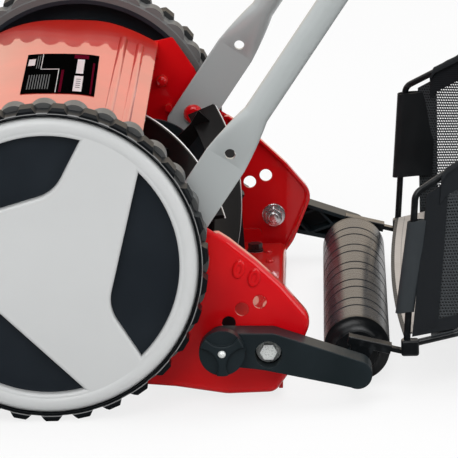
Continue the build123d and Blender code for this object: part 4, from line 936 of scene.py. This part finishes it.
def sleeve_point(heights, leads, width, side):
    """A loop of cloth round the upright between two heights, with a reach from the wire for each end."""
    def point(around, up):
        z = heights[0] + (heights[1] - heights[0]) * up
        share = (z - UPRIGHT_FOOT.z) / (UPRIGHT_HEAD.z - UPRIGHT_FOOT.z)
        centre = UPRIGHT_FOOT.lerp(UPRIGHT_HEAD, share)
        crease_painted_shade = 0.0005 * noise.noise(Vector((around * 6.0, up * 4.0, side)))
        nose = leads[0] + (leads[1] - leads[0]) * up + NOSE
        flat = width - NOSE
        if around < 0.36:
            x, y = flat * (1 - around / 0.36), LOOP_HALF + crease_painted_shade
        elif around > 0.64:
            x, y = flat * (around - 0.64) / 0.36, -LOOP_HALF - crease_painted_shade
        else:
            turn = pi * (around - 0.36) / 0.28
            x, y = -NOSE * sin(turn), LOOP_HALF * cos(turn)
        pinch = max(0.0, x / flat) ** 2
        spot_y = side * (centre.y + y * (1 - 0.8 * pinch))
        return Vector((centre.x + nose + x, spot_y, z + 0.0006 * sin(9 * around)))
    return point


def sleeve(name, heights, leads, width, side, finish):
    """One sleeve as a thin sewn loop."""
    shape = sleeve_point(heights, leads, width, side)
    return panel(name, 60, 16, shape, lambda a, b: (a * 0.07, b * 0.07), finish, 0.0009)


near_sleeve = sleeve("sleeve_left", (0.060, 0.128), (-0.0091, -0.0041), 0.0128, -1.0, slate)
# The far sleeve wears the darker copy of the cloth, as painted shade.
far_sleeve = sleeve("sleeve_right", (0.0745, 0.143), (-0.0059, -0.0057), 0.031, 1.0, far_sleeve_shaded_cloth)
for made in (near_sleeve, far_sleeve):
    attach(made, "catcher")
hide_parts("catcher_sleeves")
print("sleeves:", len(near_sleeve.data.polygons) + len(far_sleeve.data.polygons), "faces")

# %% [markdown]
# Stitches are what makes cloth read as sewn. Each stitch is a small stretched ball, and a row of them runs
# along the seam of each sleeve, a few millimetres apart.


# %% Stitches
def stitch_row(name, start, end):
    """A row of lockstitches from start to end, as one object."""
    run = end - start
    count = int(run.length / STITCH_PITCH)
    made = []
    for number in range(count):
        spot = start + run * ((number + 0.5) / count)
        bpy.ops.object.select_all(action="DESELECT")
        bpy.ops.mesh.primitive_uv_sphere_add(segments=6, ring_count=5, radius=0.5)
        stitch = bpy.context.object
        stitch.scale = (0.0006, 0.0005, STITCH_LENGTH)
        stitch.location = spot
        stitch.rotation_euler = run.to_track_quat("Z", "Y").to_euler()
        bpy.ops.object.transform_apply(location=True, rotation=True, scale=True)
        stitch.data.materials.append(thread.material)
        made.append(stitch)
    return join(made, name)


STITCH_PITCH = 0.0032
STITCH_LENGTH = 0.0022
near_x = UPRIGHT_FOOT.x + 0.0035
near_seam = stitch_row("stitches_left", Vector((near_x, -0.1922, 0.061)),
                       Vector((near_x + 0.0100, -0.1922, 0.127)))
far_x = UPRIGHT_FOOT.x + 0.0245
far_seam = stitch_row("stitches_right", Vector((far_x, 0.1885, 0.0755)),
                      Vector((far_x + 0.0035, 0.1885, 0.142)))
for made in (near_seam, far_seam):
    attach(made, "catcher")
print("stitches:", len(near_seam.data.polygons) + len(far_seam.data.polygons), "faces")

# %% [markdown]
# ## The foam grip
# The grip is a sleeve of closed-cell foam pushed onto the cross bar. It is soft, so its ends are round and
# its surface is slightly uneven. An open cylinder is cut into rings, which are thickened and thinned along
# the bar, and its skin gets the fine pores of foam.

# %% Foam finish
foam = Finish("grip_foam", Specular_IOR_Level=0.25, Roughness=0.85)
pores = foam.grains(1500.0)
lumps = foam.mottle(130.0, 3.0)
foam.colour(foam.blend(lumps, rgb(0.010, 0.010, 0.011), rgb(0.026, 0.026, 0.027)))
foam.bump(pores + 0.6 * lumps, 0.5, 0.0006)

# %% Grip shape
grip_low, grip_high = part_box("foam_grip")
grip_centre = (grip_low + grip_high) / 2
grip_half = (grip_high.y - grip_low.y) / 2
grip_radius = (grip_high.x - grip_low.x) / 2
bar_radius = 0.0095
END_ROUND = 0.006


def grip_point(around, along_share):
    """Outer skin, rounded over both ends down to the bar."""
    turn = tau * around
    y = grip_half * (2 * along_share - 1)
    end = max(0.0, (abs(y) - (grip_half - END_ROUND)) / END_ROUND)
    round_over = sqrt(max(0.0, 1 - end * end))
    swell = 0.0004 * noise.noise(Vector((cos(turn) * 2, y * 40, sin(turn) * 2)))
    skin = bar_radius + 0.0002 + (grip_radius - 0.0006 - bar_radius) * round_over + swell * round_over
    return Vector((grip_centre.x + skin * cos(turn), y, grip_centre.z + skin * sin(turn)))


bpy.ops.object.select_all(action="DESELECT")
bpy.ops.mesh.primitive_cylinder_add(vertices=64, radius=1.0, depth=2.0, end_fill_type="NOTHING")
grip = bpy.context.object
grip.name = "grip_foam"
bpy.ops.object.mode_set(mode="EDIT")
bpy.ops.mesh.select_all(action="SELECT")
bpy.ops.mesh.bisect(plane_co=(0, 0, 0), plane_no=(0, 0, 1))
for cut_height in [height / 24 - 1 for height in range(1, 48) if height != 24]:
    bpy.ops.mesh.select_all(action="SELECT")
    bpy.ops.mesh.bisect(plane_co=(0, 0, cut_height), plane_no=(0, 0, 1))
bpy.ops.object.mode_set(mode="OBJECT")
for vertex in grip.data.vertices:
    share_around = atan2(vertex.co.y, vertex.co.x) / tau
    height = vertex.co.z
    eased = (sin(height * pi / 2) + height) / 2
    vertex.co = grip_point(share_around, (eased + 1) / 2)
bpy.ops.object.mode_set(mode="EDIT")
bpy.ops.mesh.select_all(action="SELECT")
bpy.ops.mesh.normals_make_consistent(inside=False)
bpy.ops.object.mode_set(mode="OBJECT")
grip.data.materials.append(foam.material)
bpy.ops.object.shade_smooth_by_angle(angle=radians(60))
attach(grip, "upper_handle")
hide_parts("foam_grip")
print("grip:", len(grip.data.polygons), "faces")

# %% [markdown]
# ## The label on the cover
# A printed film sits on the cover between the wheels. It has to follow the cover's curve exactly, so a grid
# is laid above it and pressed down with a Shrinkwrap modifier, which is then applied. The print has no
# words: a black field, a stepped white line, dark red bars and plain white boxes.

# %% Label print
label_print = Finish("label_print", Roughness=0.5, Specular_IOR_Level=0.0)
print_u, print_v, _ = label_print.axes(label_print.where("UV"))


def box_of(left, right, low, high):
    return band(print_u, left, right) * band(print_v, low, high)


stepped = box_of(0.215, 0.225, 0.60, 0.985)
stepped = stepped.most(box_of(0.215, 0.475, 0.59, 0.605)).most(box_of(0.465, 0.475, 0.02, 0.605))
blocks = box_of(0.03, 0.125, 0.70, 0.87).most(box_of(0.70, 0.82, 0.06, 0.44))
blocks = blocks.most(box_of(0.71, 0.81, 0.50, 0.86))
rules = band(print_v.part_of(0.05), 0.0, 0.32) * box_of(0.73, 0.79, 0.12, 0.38)
small_rules = band(print_u.part_of(0.035), 0.0, 0.4) * box_of(0.06, 0.38, 0.10, 0.46)
small_rules = small_rules.most(band(print_u.part_of(0.03), 0.0, 0.35) * box_of(0.135, 0.19, 0.62, 0.95))
bars = box_of(0.51, 0.545, 0.03, 0.58).most(box_of(0.93, 0.955, 0.03, 0.80))
bars = bars.most(box_of(0.66, 0.86, 0.88, 0.975))
ink = label_print.blend(bars, rgb(0.001, 0.001, 0.001), rgb(0.16, 0.004, 0.02))
ink = label_print.blend(0.35 * small_rules, ink, rgb(0.7, 0.7, 0.7))
ink = label_print.blend(stepped.most(blocks * (1.0 - 0.8 * rules)), ink, rgb(0.95, 0.95, 0.95))
speckle = label_print.mottle(2000.0, 1.0)
label_print.colour(label_print.blend(0.01 * speckle, ink, rgb(0.2, 0.2, 0.2)))

# %% Label film
LABEL_FRONT = axle.x - 0.0281
LABEL_REAR = axle.x + 0.0271
LABEL_NEAR = -0.084
LABEL_FAR = 0.065
LABEL_SKEW = radians(1.07)
ABOVE_COVER = 0.23


def label_point(first, second):
    """Above the cover, so that the film can be pressed down onto it."""
    y = LABEL_NEAR + (LABEL_FAR - LABEL_NEAR) * second
    x = LABEL_FRONT + (LABEL_REAR - LABEL_FRONT) * first - y * LABEL_SKEW
    return Vector((x, y, ABOVE_COVER))


label = panel("cover_label", 60, 40, label_point, lambda a, b: (a, b), label_print, 0.0)
press = label.modifiers.new("press", "SHRINKWRAP")
press.target = nodes["reel_cover"]
press.wrap_method = "PROJECT"
press.use_project_z = True
press.use_negative_direction = True
press.use_positive_direction = False
press.offset = 0.0004
bpy.context.view_layer.objects.active = label
bpy.ops.object.modifier_apply(modifier="press")
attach(label, "frame")
print("label:", len(label.data.polygons), "faces")

# %% [markdown]
